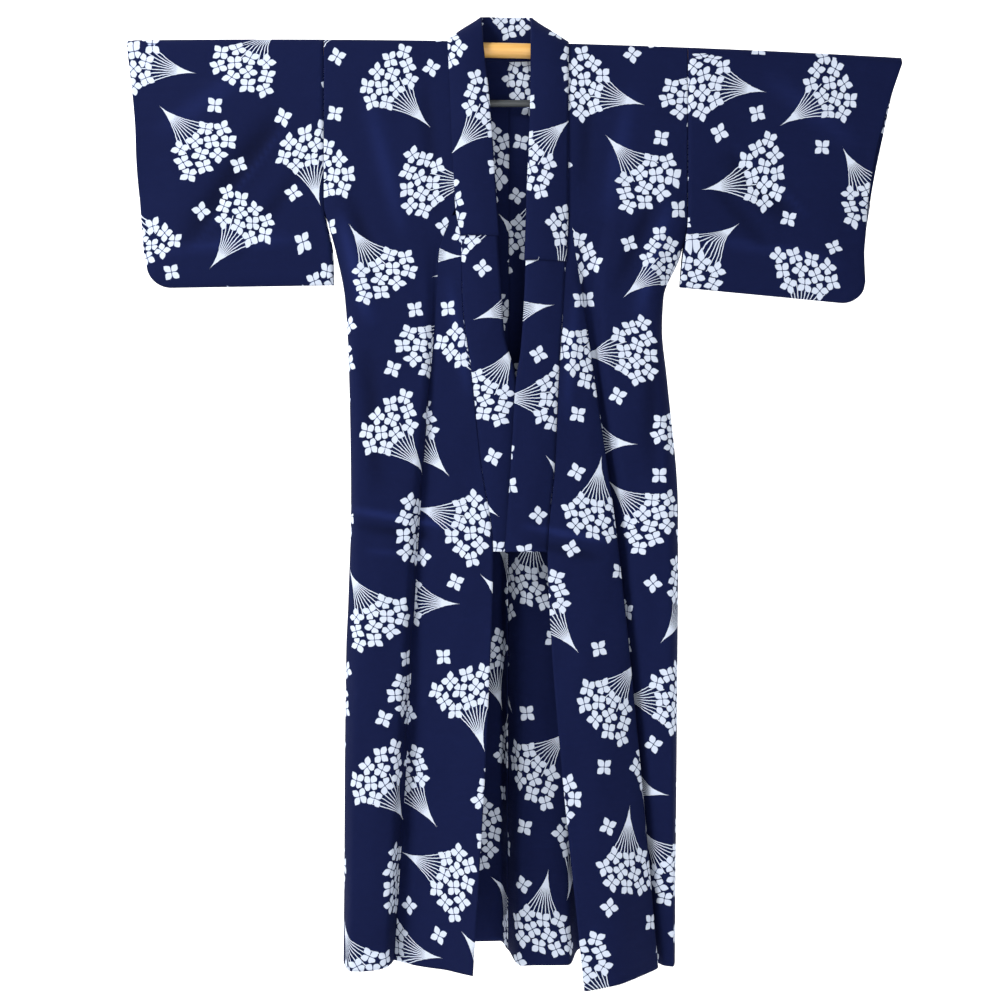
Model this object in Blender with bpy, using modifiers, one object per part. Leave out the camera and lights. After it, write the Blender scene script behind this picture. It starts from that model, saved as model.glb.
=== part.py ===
"""Cotton yukata robe on a hanging rod. Metres, +Z up, and the front faces -Y.

The origin is on the rod's axis, in the open neck. Left and right are the wearer's, so the left side
lies at +X. Each cloth panel is a grid over named fold lines. A fold line runs from the shoulder to the
hem and gives, at a few heights, how far across (x) and how deep (y) the cloth lies. Smooth curves run
along and across them.
"""

import math

import bmesh
import bpy
import numpy as np

WALL = 0.0012
COLLAR_WALL = 0.0024
COVER_WALL = 0.0010
SEAM_GAP = 0.0003
SHARPEST_SEAM = math.radians(120)
COVER_GAP = 0.0008
SIDES = ("right", "left")
SIGN = {"right": -1, "left": 1}

# Hanger
ROD_RADIUS = 0.0125
ROD_CLEARANCE = 0.0005
ROD_TILT = -0.022
ROD_BOW = -0.027
ROD_ENDS = {"right": -0.630, "left": 0.652}
ROD_POINTS = 9
BAR_RADIUS = 0.006
BAR_DROP = 0.090
BAR_HALF_LENGTH = 0.215
POST_RADIUS = 0.003
POST_OFFSET = 0.195
CLOTH_RADIUS = ROD_RADIUS + ROD_CLEARANCE + WALL / 2

# Heights of the garment's own features
SHOULDER_ROW = -0.03
ARMHOLE = -0.27
SIDE_SEAM_TOP = -0.42
COLLAR_END = -0.85
HEM = -1.54
COVER_END = {"right": -0.32, "left": -0.37}
POINT_ROW = -0.284
UPPER_ROWS = np.linspace(SHOULDER_ROW, ARMHOLE, 4)
ROW_HEIGHTS = np.concatenate([
    UPPER_ROWS,
    [POINT_ROW],
    np.linspace(ARMHOLE, SIDE_SEAM_TOP, 3)[1:],
    np.linspace(SIDE_SEAM_TOP, COLLAR_END, 6)[1:],
    np.linspace(COLLAR_END, HEM, 6)[1:],
])
SHOULDER_ANGLES = np.radians([-90, -60, -30, 0, 30, 60, 90])
COLUMNS_PER_SPAN = 3
BODY_SPANS = 6
OVERLAP_SPANS = 3

# Edges with a shape of their own, each row (z, x, y)
SIDE_EDGE = {
    "right": ((0, -0.3097, -0.0136), (-0.27, -0.3097, -0.0120), (-0.284, -0.3065, -0.0110),
              (-0.345, -0.2900, -0.0050), (-0.42, -0.2755, -0.0003), (-0.50, -0.2700, 0.0010),
              (-0.62, -0.2662, 0.0020), (-0.78, -0.2642, 0.0040), (-0.94, -0.2690, 0.0070),
              (-1.02, -0.2725, 0.0080), (-1.54, -0.2775, 0.0180)),
    "left": ((0, 0.3057, -0.0136), (-0.284, 0.3048, -0.0115), (-0.345, 0.2950, -0.0060),
             (-0.42, 0.2660, -0.0003), (-0.475, 0.2635, 0.0010), (-0.56, 0.2715, 0.0020),
             (-0.78, 0.2895, 0.0040), (-1.54, 0.2850, 0.0180)),
}
# How far in from the side edge, and how far off it, the cloth turns: rows (z, in, off)
SIDE_ROUND = {
    "right": ((0, 0.035, 0.0000), (-0.20, 0.031, 0.0030), (-0.42, 0.0020, 0.0125),
              (-0.84, 0.0012, 0.0240), (-1.54, 0.0020, 0.0360)),
    "left": ((0, 0.034, 0.0000), (-0.20, 0.030, 0.0030), (-0.42, 0.0020, 0.0125),
             (-0.84, 0.0012, 0.0230), (-1.54, 0.0020, 0.0340)),
}
FRONT_EDGE = {
    "right": ((0, -0.0998, -0.0142), (-0.27, -0.0870, -0.0170), (-0.33, -0.0774, -0.0215),
              (-0.42, -0.0757, -0.0270), (-0.56, -0.0589, -0.0340), (-0.70, -0.0440, -0.0400),
              (-0.85, -0.0235, -0.0460), (-1.18, -0.0350, -0.0660), (-1.54, -0.0560, -0.0920)),
    "left": ((0, 0.1037, -0.0142), (-0.27, 0.1030, -0.0180), (-0.42, 0.0952, -0.0330),
             (-0.585, 0.0848, -0.0430), (-0.70, 0.0795, -0.0500), (-0.85, 0.0670, -0.0580),
             (-0.99, 0.0725, -0.0700), (-1.18, 0.0875, -0.0880), (-1.54, 0.1240, -0.1220)),
}
COLLAR_EDGE = {
    "right": ((0, -0.0425, -0.0175), (-0.09, -0.0321, -0.0190), (-0.27, -0.0195, -0.0220),
              (-0.41, -0.0102, -0.0300), (-0.49, -0.0040, -0.0340), (-0.55, 0.0130, -0.0370),
              (-0.665, 0.0266, -0.0400), (-0.85, 0.0480, -0.0430)),
    "left": ((0, 0.0423, -0.0175), (-0.09, 0.0415, -0.0200), (-0.246, 0.0354, -0.0250),
             (-0.42, 0.0288, -0.0380), (-0.52, 0.0219, -0.0450), (-0.56, 0.0151, -0.0475),
             (-0.71, 0.0058, -0.0560), (-0.85, -0.0040, -0.0620)),
}
OVERLAP_SEAM = {
    "right": ((-0.284, -0.0925, -0.0180), (-0.345, -0.1145, -0.0195), (-0.42, -0.1190, -0.0205),
              (-0.84, -0.1500, -0.0240), (-1.18, -0.1680, -0.0210), (-1.54, -0.1900, -0.0180)),
    "left": ((-0.284, 0.1070, -0.0190), (-0.345, 0.1150, -0.0222), (-0.42, 0.1265, -0.0250),
             (-0.53, 0.1420, -0.0300), (-0.84, 0.1850, -0.0420), (-1.18, 0.2195, -0.0460),
             (-1.54, 0.2510, -0.0520)),
}
CENTRE_BACK = ((-0.03, 0.0040, 0.0145), (-0.42, 0.0030, 0.0200), (-0.84, 0.0020, 0.0340),
               (-1.54, 0.0020, 0.0350))

# Fold lines from the side seam inwards: (x, y) at the chest, waist and hem, and the hem's own drop
FOLD_HEIGHTS = (SIDE_SEAM_TOP, -0.84, HEM)
FRONT_FOLDS = {
    "right": {
        "side_crest": ((-0.2500, -0.026), (-0.2460, -0.043), (-0.2580, -0.061), -0.004),
        "front_crest": ((-0.2000, -0.029), (-0.2050, -0.049), (-0.2300, -0.065), -0.003),
        "fold_lip": ((-0.1400, -0.030), (-0.1660, -0.047), (-0.2040, -0.059), 0.000),
        "fold_flank": ((-0.1265, -0.025), (-0.1545, -0.035), (-0.1940, -0.036), 0.000),
    },
    "left": {
        "side_crest": ((0.2400, -0.027), (0.2680, -0.044), (0.2750, -0.049), 0.000),
        "fold_mouth": ((0.1650, -0.029), (0.2120, -0.039), (0.2620, -0.045), 0.000),
        "fold_back": ((0.1440, -0.0165), (0.1790, -0.012), (0.2350, -0.010), 0.000),
        "fold_end": ((0.1300, -0.0175), (0.1610, -0.026), (0.2060, -0.026), 0.000),
    },
}
OVERLAP_FOLDS = {
    "right": {
        "overlap_outer": ((-0.1020, -0.0235), (-0.1190, -0.036), (-0.1500, -0.046), 0.000),
        "overlap_inner": ((-0.0880, -0.0255), (-0.0740, -0.043), (-0.1050, -0.066), 0.000),
    },
    "left": {
        "overlap_outer": ((0.1170, -0.0300), (0.1500, -0.055), (0.2220, -0.086), -0.002),
        "overlap_inner": ((0.1060, -0.0320), (0.1090, -0.058), (0.1770, -0.114), -0.008),
    },
}
BACK_FOLDS = {
    "right": {
        "back_ridge": ((-0.2250, 0.020), (-0.2150, 0.038), (-0.2220, 0.066), 0.000),
        "back_trough": ((-0.1700, 0.018), (-0.1640, 0.028), (-0.1640, 0.044), 0.000),
        "back_swell": ((-0.1100, 0.021), (-0.1030, 0.038), (-0.1000, 0.070), 0.000),
        "column_root": ((-0.0500, 0.022), (-0.0180, 0.050), (-0.0130, 0.082), 0.000),
    },
    "left": {
        "back_ridge": ((0.2050, 0.020), (0.2250, 0.042), (0.2150, 0.066), 0.000),
        "column_far": ((0.1450, 0.021), (0.1350, 0.036), (0.1270, 0.050), -0.003),
        "column_crest": ((0.0950, 0.018), (0.0950, 0.008), (0.1020, -0.010), -0.011),
        "column_near": ((0.0480, 0.017), (0.0350, 0.010), (0.0250, -0.014), -0.011),
    },
}
# Strips that each panel is in, from its side seam inwards: the fold line where each strip ends
BODY_STRIPS = {
    "front": {
        "right": {"side": 1, "main": 4, "flank": 6},
        "left": {"side": 1, "main": 3, "fold": 4, "flank": 6},
    },
    "back": {
        "right": {"side": 1, "ridge": 3, "centre": 6},
        "left": {"side": 1, "ridge": 3, "column_far": 4, "column": 6},
    },
}
OVERLAP_STRIPS = {"right": {"whole": 3}, "left": {"flank": 1, "face": 3}}
# Strips that bend at the waist, so that they are in an upper and a lower length
WAIST_BENDS = ("body_back_left_column", "body_back_left_column_far", "okumi_left_face")
FRONT_CORNER_DROP = {"right": -0.001, "left": -0.016}
UPPER_FRONT_DEPTH = 0.0165
UPPER_BACK_DEPTH = 0.0160
UPPER_HEIGHT = -0.20
COLLARBONE_ROW = -0.10

# Sleeves, each row (z, x)
SLEEVE_INNER = {
    "right": ((0, -0.3101), (-0.27, -0.3101), (-0.284, -0.3085), (-0.345, -0.2962), (-0.40, -0.2940)),
    "left": ((0, 0.3061), (-0.284, 0.3058), (-0.345, 0.2982), (-0.40, 0.2930)),
}
SLEEVE_OUTER = {
    "right": ((0, -0.6426), (-0.14, -0.6307), (-0.195, -0.6290), (-0.32, -0.6188), (-0.41, -0.6120)),
    "left": ((0, 0.6680), (-0.10, 0.6477), (-0.28, 0.6137), (-0.34, 0.6069), (-0.43, 0.6100)),
}
SLEEVE_BOTTOM = {"right": (-0.3990, -0.4040), "left": (-0.4020, -0.4330)}
SLEEVE_CORNER_RADIUS = 0.042
SLEEVE_ROWS = (0, *UPPER_ROWS, POINT_ROW, -0.345, -0.370, -0.388, -0.400)
SLEEVE_SHARES = (0, 0.16, 0.32, 0.48, 0.64, 0.78, 0.88, 0.93, 0.97, 1.0)
SLEEVE_STRETCH_FROM = -0.345
MOUTH_END = -0.25
MOUTH_LIP_END = -0.31
MOUTH_LIP = {"right": 0.002, "left": 0.011}
SEWN_HALF_GAP = 0.0022
SEWN_EASE = 0.07
SLEEVE_HALF_DEPTH = 0.0120
SLEEVE_LOWEST = -0.45
# A soft crease across each sleeve: (x, z) where it starts and ends, then its depth and half width
SLEEVE_CREASES = {
    "right": (((-0.370, -0.095), (-0.555, -0.345)), 0.005, 0.022),
    "left": (((0.362, -0.170), (0.492, -0.295)), 0.004, 0.020),
}

# Free edge of the collar round the neck, each row (place from the right front to the left, x, y, z)
COLLAR_NECK = (
    (0, -0.0425, -0.0215, 0.0040),
    (2, -0.0440, -0.0150, 0.0300),
    (4, -0.0455, 0.0000, 0.0500),
    (6, -0.0445, 0.0135, 0.0590),
    (8, -0.0270, 0.0232, 0.0625),
    (10, -0.0010, 0.0260, 0.0625),
    (12, 0.0255, 0.0232, 0.0620),
    (14, 0.0420, 0.0130, 0.0575),
    (16, 0.0430, 0.0000, 0.0470),
    (18, 0.0425, -0.0150, 0.0265),
    (20, 0.0423, -0.0215, 0.0020),
)
NECK_RADIUS = CLOTH_RADIUS + (COLLAR_WALL - WALL) / 2
NECK_DEPTH = 0.0150
NECK_SHARES = (0.25, 0.5, 0.75)
NECK_SAG = 0.004
COLLAR_COLUMNS = 5
COLLAR_ROUND = 0.004
COLLAR_SEAM_GAP = 0.0005
# How far out the cover turns round the free edge, as shares of its lift
COVER_TURN = {"corner": 0.8, "tip": 1.1}

# Colour and roughness
NAVY_COTTON = ((0.014, 0.018, 0.070), 0.85)
ROD_WOOD = ((0.80, 0.47, 0.13), 0.45)
BAR_PAINT = ((0.04, 0.045, 0.05), 0.5)


def clear_scene():
    for thing in list(bpy.data.objects):
        bpy.data.objects.remove(thing, do_unlink=True)


def rod_height(x):
    """The height of the rod's axis, which leans and bows a little under the robe."""
    return ROD_TILT * x + ROD_BOW * x * x


def smooth(knots, values, at):
    """A curve through the values, flat at each crest and trough, so that it never swings past them."""
    knots = np.asarray(knots, float)
    values = np.asarray(values, float)
    at = np.asarray(at, float)
    if knots[0] > knots[-1]:
        knots, values, at = -knots, values, -at
    step = np.diff(knots)
    spread = step.reshape((-1,) + (1,) * (values.ndim - 1))
    slope = np.diff(values, axis=0) / spread
    tangent = np.zeros_like(values)
    tangent[0], tangent[-1] = slope[0], slope[-1]
    before, after = slope[:-1], slope[1:]
    same = before * after > 0
    total = np.where(same, before + after, 1)
    tangent[1:-1] = np.where(same, 2 * before * after / total, 0)
    at = np.clip(at, knots[0], knots[-1])
    place = np.clip(np.searchsorted(knots, at, side="right") - 1, 0, len(step) - 1)
    width = step[place]
    part = (at - knots[place]) / width
    shape = (-1,) + (1,) * (values.ndim - 1)
    part, width = part.reshape(shape), width.reshape(shape)
    return (
        values[place] * (1 + 2 * part) * (1 - part) ** 2
        + tangent[place] * width * part * (1 - part) ** 2
        + values[place + 1] * part**2 * (3 - 2 * part)
        - tangent[place + 1] * width * part**2 * (1 - part)
    )


def edge_line(rows, heights):
    """(x, y) at each height of a line given as rows of (z, x, y)."""
    rows = np.asarray(rows, float)
    return smooth(rows[:, 0], rows[:, 1:], heights)


def with_drop(line, drop, heights):
    """The line as (x, y, z), with the shoulder's lean near the top and the hem's own drop at the foot."""
    lean = np.clip(1 + heights / -SIDE_SEAM_TOP, 0, 1)
    foot = np.clip(heights / HEM, 0, 1) ** 3
    z = heights + rod_height(line[:, 0]) * lean + drop * foot
    return np.column_stack([line, z])


def fold_line(share, outer, inner, depth, row, heights, spread_to=UPPER_HEIGHT):
    """A fold line that starts spread evenly over the shoulder and gathers to its own place below."""
    *points, drop = row
    upper = []
    for height in (0, spread_to):
        side_x = edge_line(outer, [height])[0, 0]
        inner_x = edge_line(inner, [height])[0, 0]
        y = math.copysign(CLOTH_RADIUS, depth) if height == 0 else depth
        upper.append((height, side_x + (inner_x - side_x) * share, y))
    lower = [(height, *point) for height, point in zip(FOLD_HEIGHTS, points)]
    return with_drop(edge_line(upper + lower, heights), drop, heights)


def side_lines(side, edge, facing, heights):
    """The side edge and the turn of the cloth beside it, on the front (facing -1) or the back (1)."""
    line = edge_line(edge, heights)
    turn = edge_line(SIDE_ROUND[side], heights)
    beside = line + np.column_stack([-SIGN[side] * turn[:, 0], facing * turn[:, 1]])
    return [with_drop(line, 0, heights), with_drop(beside, 0, heights)]


def front_lines(side, heights):
    """Every line of one front, from the side seam to the free front edge: (line, row, xyz)."""
    folds = list(FRONT_FOLDS[side].values())
    upper_heights = (0, COLLARBONE_ROW, UPPER_HEIGHT, ARMHOLE)
    upper_seam = [(z, *edge_line(FRONT_EDGE[side], [z])[0]) for z in upper_heights]
    seam = upper_seam + list(OVERLAP_SEAM[side])
    lines = side_lines(side, SIDE_EDGE[side], -1, heights)
    for number, row in enumerate(folds, start=2):
        share = number / (len(folds) + 2)
        lines.append(fold_line(share, SIDE_EDGE[side], seam, -UPPER_FRONT_DEPTH, row, heights))
    lines.append(with_drop(edge_line(seam, heights), 0, heights))
    edge = FRONT_EDGE[side]
    point_depth = edge_line(edge, [POINT_ROW])[0, 1]
    for share, row in zip((1 / 3, 2 / 3), OVERLAP_FOLDS[side].values()):
        lines.append(fold_line(share, seam, edge, point_depth, row, heights, POINT_ROW))
    lines.append(with_drop(edge_line(edge, heights), FRONT_CORNER_DROP[side], heights))
    return np.array(lines)


def back_side_edge(side):
    """The back's side edge: level with the front's below the side seam's top, and behind it above."""
    rows = []
    for z, x, y in SIDE_EDGE[side]:
        rows.append((z, x, -y if z > SIDE_SEAM_TOP else y))
    return rows


def back_lines(heights):
    """Every line of the back, from the right side seam across to the left one: (line, row, xyz)."""
    halves = {}
    for side in SIDES:
        outer = back_side_edge(side)
        lines = side_lines(side, outer, 1, heights)
        folds = list(BACK_FOLDS[side].values())
        for number, row in enumerate(folds, start=2):
            share = number / (len(folds) + 2)
            lines.append(fold_line(share, outer, CENTRE_BACK, UPPER_BACK_DEPTH, row, heights))
        halves[side] = lines
    centre = with_drop(edge_line(CENTRE_BACK, heights), 0, heights)
    return np.array(halves["right"] + [centre] + halves["left"][::-1])


def across(lines, first, last):
    """The cloth between two lines: (row, column, xyz), smooth over every line of the section."""
    columns = np.linspace(first, last, (last - first) * COLUMNS_PER_SPAN + 1)
    return smooth(np.arange(len(lines)), lines, columns).transpose(1, 0, 2)


def seam_width(before, seam, after, wall=WALL):
    """How far two panels end short of their seam, so that their walls stay a gap apart at its bend."""
    way_in, way_out = seam - before, after - seam
    lengths = np.linalg.norm(way_in, axis=1) * np.linalg.norm(way_out, axis=1)
    turn = np.arccos(np.clip((way_in * way_out).sum(axis=1) / lengths, -1, 1))
    return SEAM_GAP / 2 + wall / 2 * np.tan(np.minimum(turn, SHARPEST_SEAM) / 2)


def trimmed(grid, start, end):
    """The grid with its first and last columns drawn in by these widths."""
    grid = grid.copy()
    for column, inner, width in ((0, 1, start), (-1, -2, end)):
        way = grid[:, inner] - grid[:, column]
        length = np.linalg.norm(way, axis=1)
        grid[:, column] += way * np.minimum(width / length, 0.5)[:, None]
    return grid


def neck_seam(side):
    """Where the collar meets the body round the neck: over the shoulder, then across to the centre back."""
    x = FRONT_EDGE[side][0][1]
    points = []
    for angle in SHOULDER_ANGLES:
        points.append((x, NECK_RADIUS * math.sin(angle), rod_height(x) + NECK_RADIUS * math.cos(angle)))
    shoulder, centre = np.array(points[-1]), np.array((CENTRE_BACK[0][1], NECK_RADIUS, -NECK_DEPTH))
    for share in NECK_SHARES:
        points.append(shoulder + (centre - shoulder) * share)
        points[-1][2] -= NECK_SAG * math.sin(math.pi * share)
    points.append(centre)
    return np.array(points, float)


def body_grid(side):
    """One body panel, from the back hem over the rod to the front hem."""
    heights = ROW_HEIGHTS
    seam = BODY_SPANS * COLUMNS_PER_SPAN
    front = across(front_lines(side, heights), 0, BODY_SPANS + 1)
    back = back_lines(heights)
    if side == "left":
        back = back[::-1]
    back = across(back, 0, BODY_SPANS + 1)
    side_width = seam_width(front[:, 1], front[:, 0], back[:, 1])
    overlap_width = seam_width(front[:, seam - 1], front[:, seam], front[:, seam + 1])
    overlap_width = np.where(heights > POINT_ROW + SEAM_GAP, SEAM_GAP, overlap_width)
    centre_width = seam_width(back[:, seam - 1], back[:, seam], back[:, seam + 1])
    front = trimmed(front[:, : seam + 1], side_width, overlap_width)
    back = trimmed(back[:, : seam + 1], side_width, centre_width)
    shoulder_x = front_shoulder(side)
    shoulder = []
    for angle in SHOULDER_ANGLES:
        y = np.full_like(shoulder_x, CLOTH_RADIUS * math.sin(angle))
        z = rod_height(shoulder_x) + CLOTH_RADIUS * math.cos(angle)
        shoulder.append(np.column_stack([shoulder_x, y, z]))
    neck = neck_seam(side)[len(SHOULDER_ANGLES) :]
    neck[:, 1] = CLOTH_RADIUS
    shares = np.linspace(0, 1, seam + 1)[:, None]
    behind = []
    for share, point in zip(NECK_SHARES, neck):
        outer = shoulder[-1][0] + (back[0, 0] - shoulder[-1][0]) * share
        behind.append(outer + (point - outer) * shares)
    back[0, :, 2] += (neck[-1, 2] - SHOULDER_ROW) * shares[:, 0]
    rows = list(front[::-1]) + shoulder + behind + list(back)
    return np.array(rows)


def body_stretches(side):
    """One body panel in three stretches that meet at the rod: its front, its shoulder and its back."""
    grid = body_grid(side)
    top = len(ROW_HEIGHTS)
    behind = top + len(SHOULDER_ANGLES) - 1
    half = SEAM_GAP / 2
    rows = {
        "front": (grid[: top + 1], 0, half),
        "shoulder": (grid[top : behind + 1], half, half),
        "back": (grid[behind:], half, 0),
    }
    stretches = {}
    for name, (part, start, end) in rows.items():
        stretches[name] = trimmed(part.transpose(1, 0, 2), start, end).transpose(1, 0, 2)
    return stretches


def strips(grid, ends):
    """The grid in strips, each ending a seam short of the fold line named for it."""
    cuts = [0] + [line * COLUMNS_PER_SPAN for line in ends.values()]
    widths = [0]
    for column in cuts[1:-1]:
        bend = seam_width(grid[:, column - 1], grid[:, column], grid[:, column + 1])
        widths.append(np.maximum(bend, SEAM_GAP))
    widths.append(0)
    pieces = {}
    for number, name in enumerate(ends):
        part = grid[:, cuts[number] : cuts[number + 1] + 1]
        pieces[name] = trimmed(part, widths[number], widths[number + 1])
    return pieces


def panel(name, grid):
    """A strip of a panel, in two lengths where it bends at the waist."""
    if name not in WAIST_BENDS:
        cloth(name, grid)
        return
    waist = int(np.argmin(np.abs(grid[:, 0, 2] - COLLAR_END)))
    lengths = {"upper": (grid[: waist + 1], 0, SEAM_GAP), "lower": (grid[waist:], SEAM_GAP, 0)}
    for place, (part, start, end) in lengths.items():
        cloth(f"{name}_{place}", trimmed(part.transpose(1, 0, 2), start, end).transpose(1, 0, 2))


def front_shoulder(side):
    """How far across each column of a body panel lies on the rod."""
    return across(front_lines(side, np.zeros(1)), 0, BODY_SPANS)[0, :, 0]


def overlap_grid(side):
    """The overlap panel, from its point beside the collar to the hem."""
    heights = ROW_HEIGHTS[len(UPPER_ROWS) :]
    seam = BODY_SPANS * COLUMNS_PER_SPAN
    grid = across(front_lines(side, heights), 0, BODY_SPANS + OVERLAP_SPANS)
    width = seam_width(grid[:, seam - 1], grid[:, seam], grid[:, seam + 1])
    beside_collar = np.where(heights > COLLAR_END - SEAM_GAP, SEAM_GAP, 0)
    return trimmed(grid[:, seam:], width, beside_collar)


def collar_rows():
    """Seam and free edge of the collar, from its right end up round the neck to its left end."""
    heights = ROW_HEIGHTS[ROW_HEIGHTS > COLLAR_END - SEAM_GAP]
    stretches = {}
    for side in SIDES:
        seam = with_drop(edge_line(FRONT_EDGE[side], heights), 0, heights)
        edge = with_drop(edge_line(COLLAR_EDGE[side], heights), 0, heights)
        stretches[side] = (seam, edge)
    neck = np.array(COLLAR_NECK)
    seam_round = np.concatenate([neck_seam("right"), neck_seam("left")[-2::-1]])
    edge_round = smooth(neck[:, 0], neck[:, 1:], np.arange(len(seam_round)))
    seams = np.concatenate([stretches["right"][0][::-1], seam_round, stretches["left"][0]])
    edges = np.concatenate([stretches["right"][1][::-1], edge_round, stretches["left"][1]])
    return seams, edges


def collar_middle():
    """The collar's middle surface (row, column, xyz) and the height of each row at its seam."""
    seams, edges = collar_rows()
    way = edges - seams
    way /= np.linalg.norm(way, axis=1, keepdims=True)
    outward = np.cross(way, np.gradient(seams + edges, axis=0))
    outward /= np.linalg.norm(outward, axis=1, keepdims=True)
    start = (seams + way * COLLAR_SEAM_GAP)[:, None]
    shares = np.linspace(0, 1, COLLAR_COLUMNS)[None, :, None]
    bulge = np.sin(shares * math.pi) * COLLAR_ROUND * outward[:, None]
    return start + (edges[:, None] - start) * shares + bulge, seams[:, 2]


def normals(grid):
    """The outward direction at each point of a grid."""
    found = np.cross(np.gradient(grid, axis=1), np.gradient(grid, axis=0))
    return found / np.linalg.norm(found, axis=2, keepdims=True)


def grid_mesh(name, grid, wrap=False, extra=(), turned=None):
    """A mesh over a grid of points, joined round its rows where it wraps.

    A column number in turned splits each quad, with the other diagonal from that column on.
    """
    rows, columns = grid.shape[:2]
    mesh = bmesh.new()
    points = [[mesh.verts.new(grid[i, j]) for j in range(columns)] for i in range(rows)]
    last = rows if wrap else rows - 1
    for i in range(last):
        after = points[(i + 1) % rows]
        for j in range(columns - 1):
            quad = (points[i][j], points[i][j + 1], after[j + 1], after[j])
            if turned is None:
                mesh.faces.new(quad)
                continue
            first = 0 if j < turned else 1
            mesh.faces.new([quad[(first + k) % 4] for k in range(3)])
            mesh.faces.new([quad[(first + k) % 4] for k in (2, 3, 0)])
    for corners in extra:
        mesh.faces.new([points[i][j] for i, j in corners])
    bmesh.ops.recalc_face_normals(mesh, faces=mesh.faces[:])
    data = bpy.data.meshes.new(name)
    mesh.to_mesh(data)
    mesh.free()
    return data


def finish(name, data, look):
    colour, roughness = look
    thing = bpy.data.objects.new(name, data)
    bpy.data.collections["yukata"].objects.link(thing)
    material = bpy.data.materials.new(name)
    material.use_nodes = True
    shader = material.node_tree.nodes["Principled BSDF"]
    shader.inputs["Base Color"].default_value = (*colour, 1)
    shader.inputs["Roughness"].default_value = roughness
    data.materials.append(material)
    return thing


def cloth(name, grid, wall=WALL, wrap=False, extra=(), turned=None):
    """A panel of cloth: the middle surface with its wall."""
    thing = finish(name, grid_mesh(name, grid, wrap, extra, turned), NAVY_COTTON)
    solid = thing.modifiers.new("wall", "SOLIDIFY")
    solid.thickness = wall
    solid.offset = 0
    solid.use_rim = True
    thing.data.shade_smooth()
    return thing


def crease_depth(side, x, z):
    """How far the sleeve's soft crease draws a layer in at a point."""
    (start, end), depth, half_width = SLEEVE_CREASES[side]
    start, end = np.array(start), np.array(end)
    way = end - start
    length = np.linalg.norm(way)
    offset = np.array([x, z]) - start
    along = np.dot(offset, way) / length**2
    off = abs(way[0] * offset[1] - way[1] * offset[0]) / length
    fade = max(0.0, 1 - (2 * along - 1) ** 2)
    return depth * fade * math.exp(-((off / half_width) ** 2))


def sleeve_point(side, height, share, layer):
    """A point of the sleeve's front (layer -1) or back (layer 1)."""
    inner = smooth(*zip(*SLEEVE_INNER[side]), [height])[0]
    outer = smooth(*zip(*SLEEVE_OUTER[side]), [height])[0]
    if layer < 0:
        down = min(1, max(0, height / MOUTH_LIP_END))
        outer -= SIGN[side] * MOUTH_LIP[side] * math.sin(math.pi * down)
    x = inner + (outer - inner) * share
    from_outer = abs(outer - x)
    bottom = SLEEVE_BOTTOM[side][0] + (SLEEVE_BOTTOM[side][1] - SLEEVE_BOTTOM[side][0]) * share
    short = max(0.0, SLEEVE_CORNER_RADIUS - from_outer)
    bottom += SLEEVE_CORNER_RADIUS - math.sqrt(SLEEVE_CORNER_RADIUS**2 - short**2)
    z = height
    if height < SLEEVE_STRETCH_FROM:
        reach = (height - SLEEVE_STRETCH_FROM) / (SLEEVE_ROWS[-1] - SLEEVE_STRETCH_FROM)
        z = SLEEVE_STRETCH_FROM + reach * (bottom - SLEEVE_STRETCH_FROM)
    to_side = math.hypot(from_outer, max(0.0, z - MOUTH_END))
    to_sewn = min(z - bottom, to_side)
    ease = math.sqrt(min(1.0, max(0.0, to_sewn) / SEWN_EASE))
    depths = [CLOTH_RADIUS, SLEEVE_HALF_DEPTH, SLEEVE_HALF_DEPTH]
    full = smooth([0, ARMHOLE, SLEEVE_LOWEST], depths, [z])[0]
    half_gap = SEWN_HALF_GAP + (full - SEWN_HALF_GAP) * ease
    half_gap -= crease_depth(side, x, z) * min(1.0, ease)
    lean = min(1.0, max(0.0, 1 - z / SIDE_SEAM_TOP))
    return (x, layer * max(half_gap, SEWN_HALF_GAP), z + rod_height(x) * lean)


def sleeve(side):
    """A sleeve folded over the rod, sewn along the bottom and below its mouth, open at the body."""
    rings = []
    for height in SLEEVE_ROWS[::-1]:
        rings.append([sleeve_point(side, height, share, -1) for share in SLEEVE_SHARES])
    top = np.array(rings[-1])
    for angle in SHOULDER_ANGLES[1:-1]:
        y = np.full(len(top), CLOTH_RADIUS * math.sin(angle))
        z = rod_height(top[:, 0]) + CLOTH_RADIUS * math.cos(angle)
        rings.append(np.column_stack([top[:, 0], y, z]))
    for height in SLEEVE_ROWS:
        rings.append([sleeve_point(side, height, share, 1) for share in SLEEVE_SHARES])
    grid = np.array(rings)
    last = len(grid) - 1
    end = len(SLEEVE_SHARES) - 1
    sewn = sum(height < MOUTH_END for height in SLEEVE_ROWS) - 1
    seam = [((i, end), (i + 1, end), (last - i - 1, end), (last - i, end)) for i in range(sewn)]
    return cloth(f"sleeve_{side}", grid, wrap=True, extra=seam)


def collar_cover(grid, heights):
    """A second layer folded over the collar's free edge, from end to end of the cover."""
    middle = len(heights) // 2
    ends = [COVER_END["right"]] * middle + [COVER_END["left"]] * (len(heights) - middle)
    keep = heights >= np.array(ends) - SEAM_GAP
    lift = normals(grid)[keep] * (COLLAR_WALL / 2 + COVER_GAP + COVER_WALL / 2)
    grid = grid[keep]
    tip = grid[:, -1] - grid[:, -2]
    tip *= np.linalg.norm(lift[0, 0]) / np.linalg.norm(tip, axis=1, keepdims=True)
    edge, off = grid[:, -1], lift[:, -1]
    corner = COVER_TURN["corner"]
    turn = [edge + corner * (tip + off), edge + COVER_TURN["tip"] * tip, edge + corner * (tip - off)]
    section = np.concatenate([grid + lift, np.stack(turn, axis=1), (grid - lift)[:, :0:-1]], axis=1)
    return cloth("collar_cover", section, COVER_WALL, turned=COLLAR_COLUMNS + 1)


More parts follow.
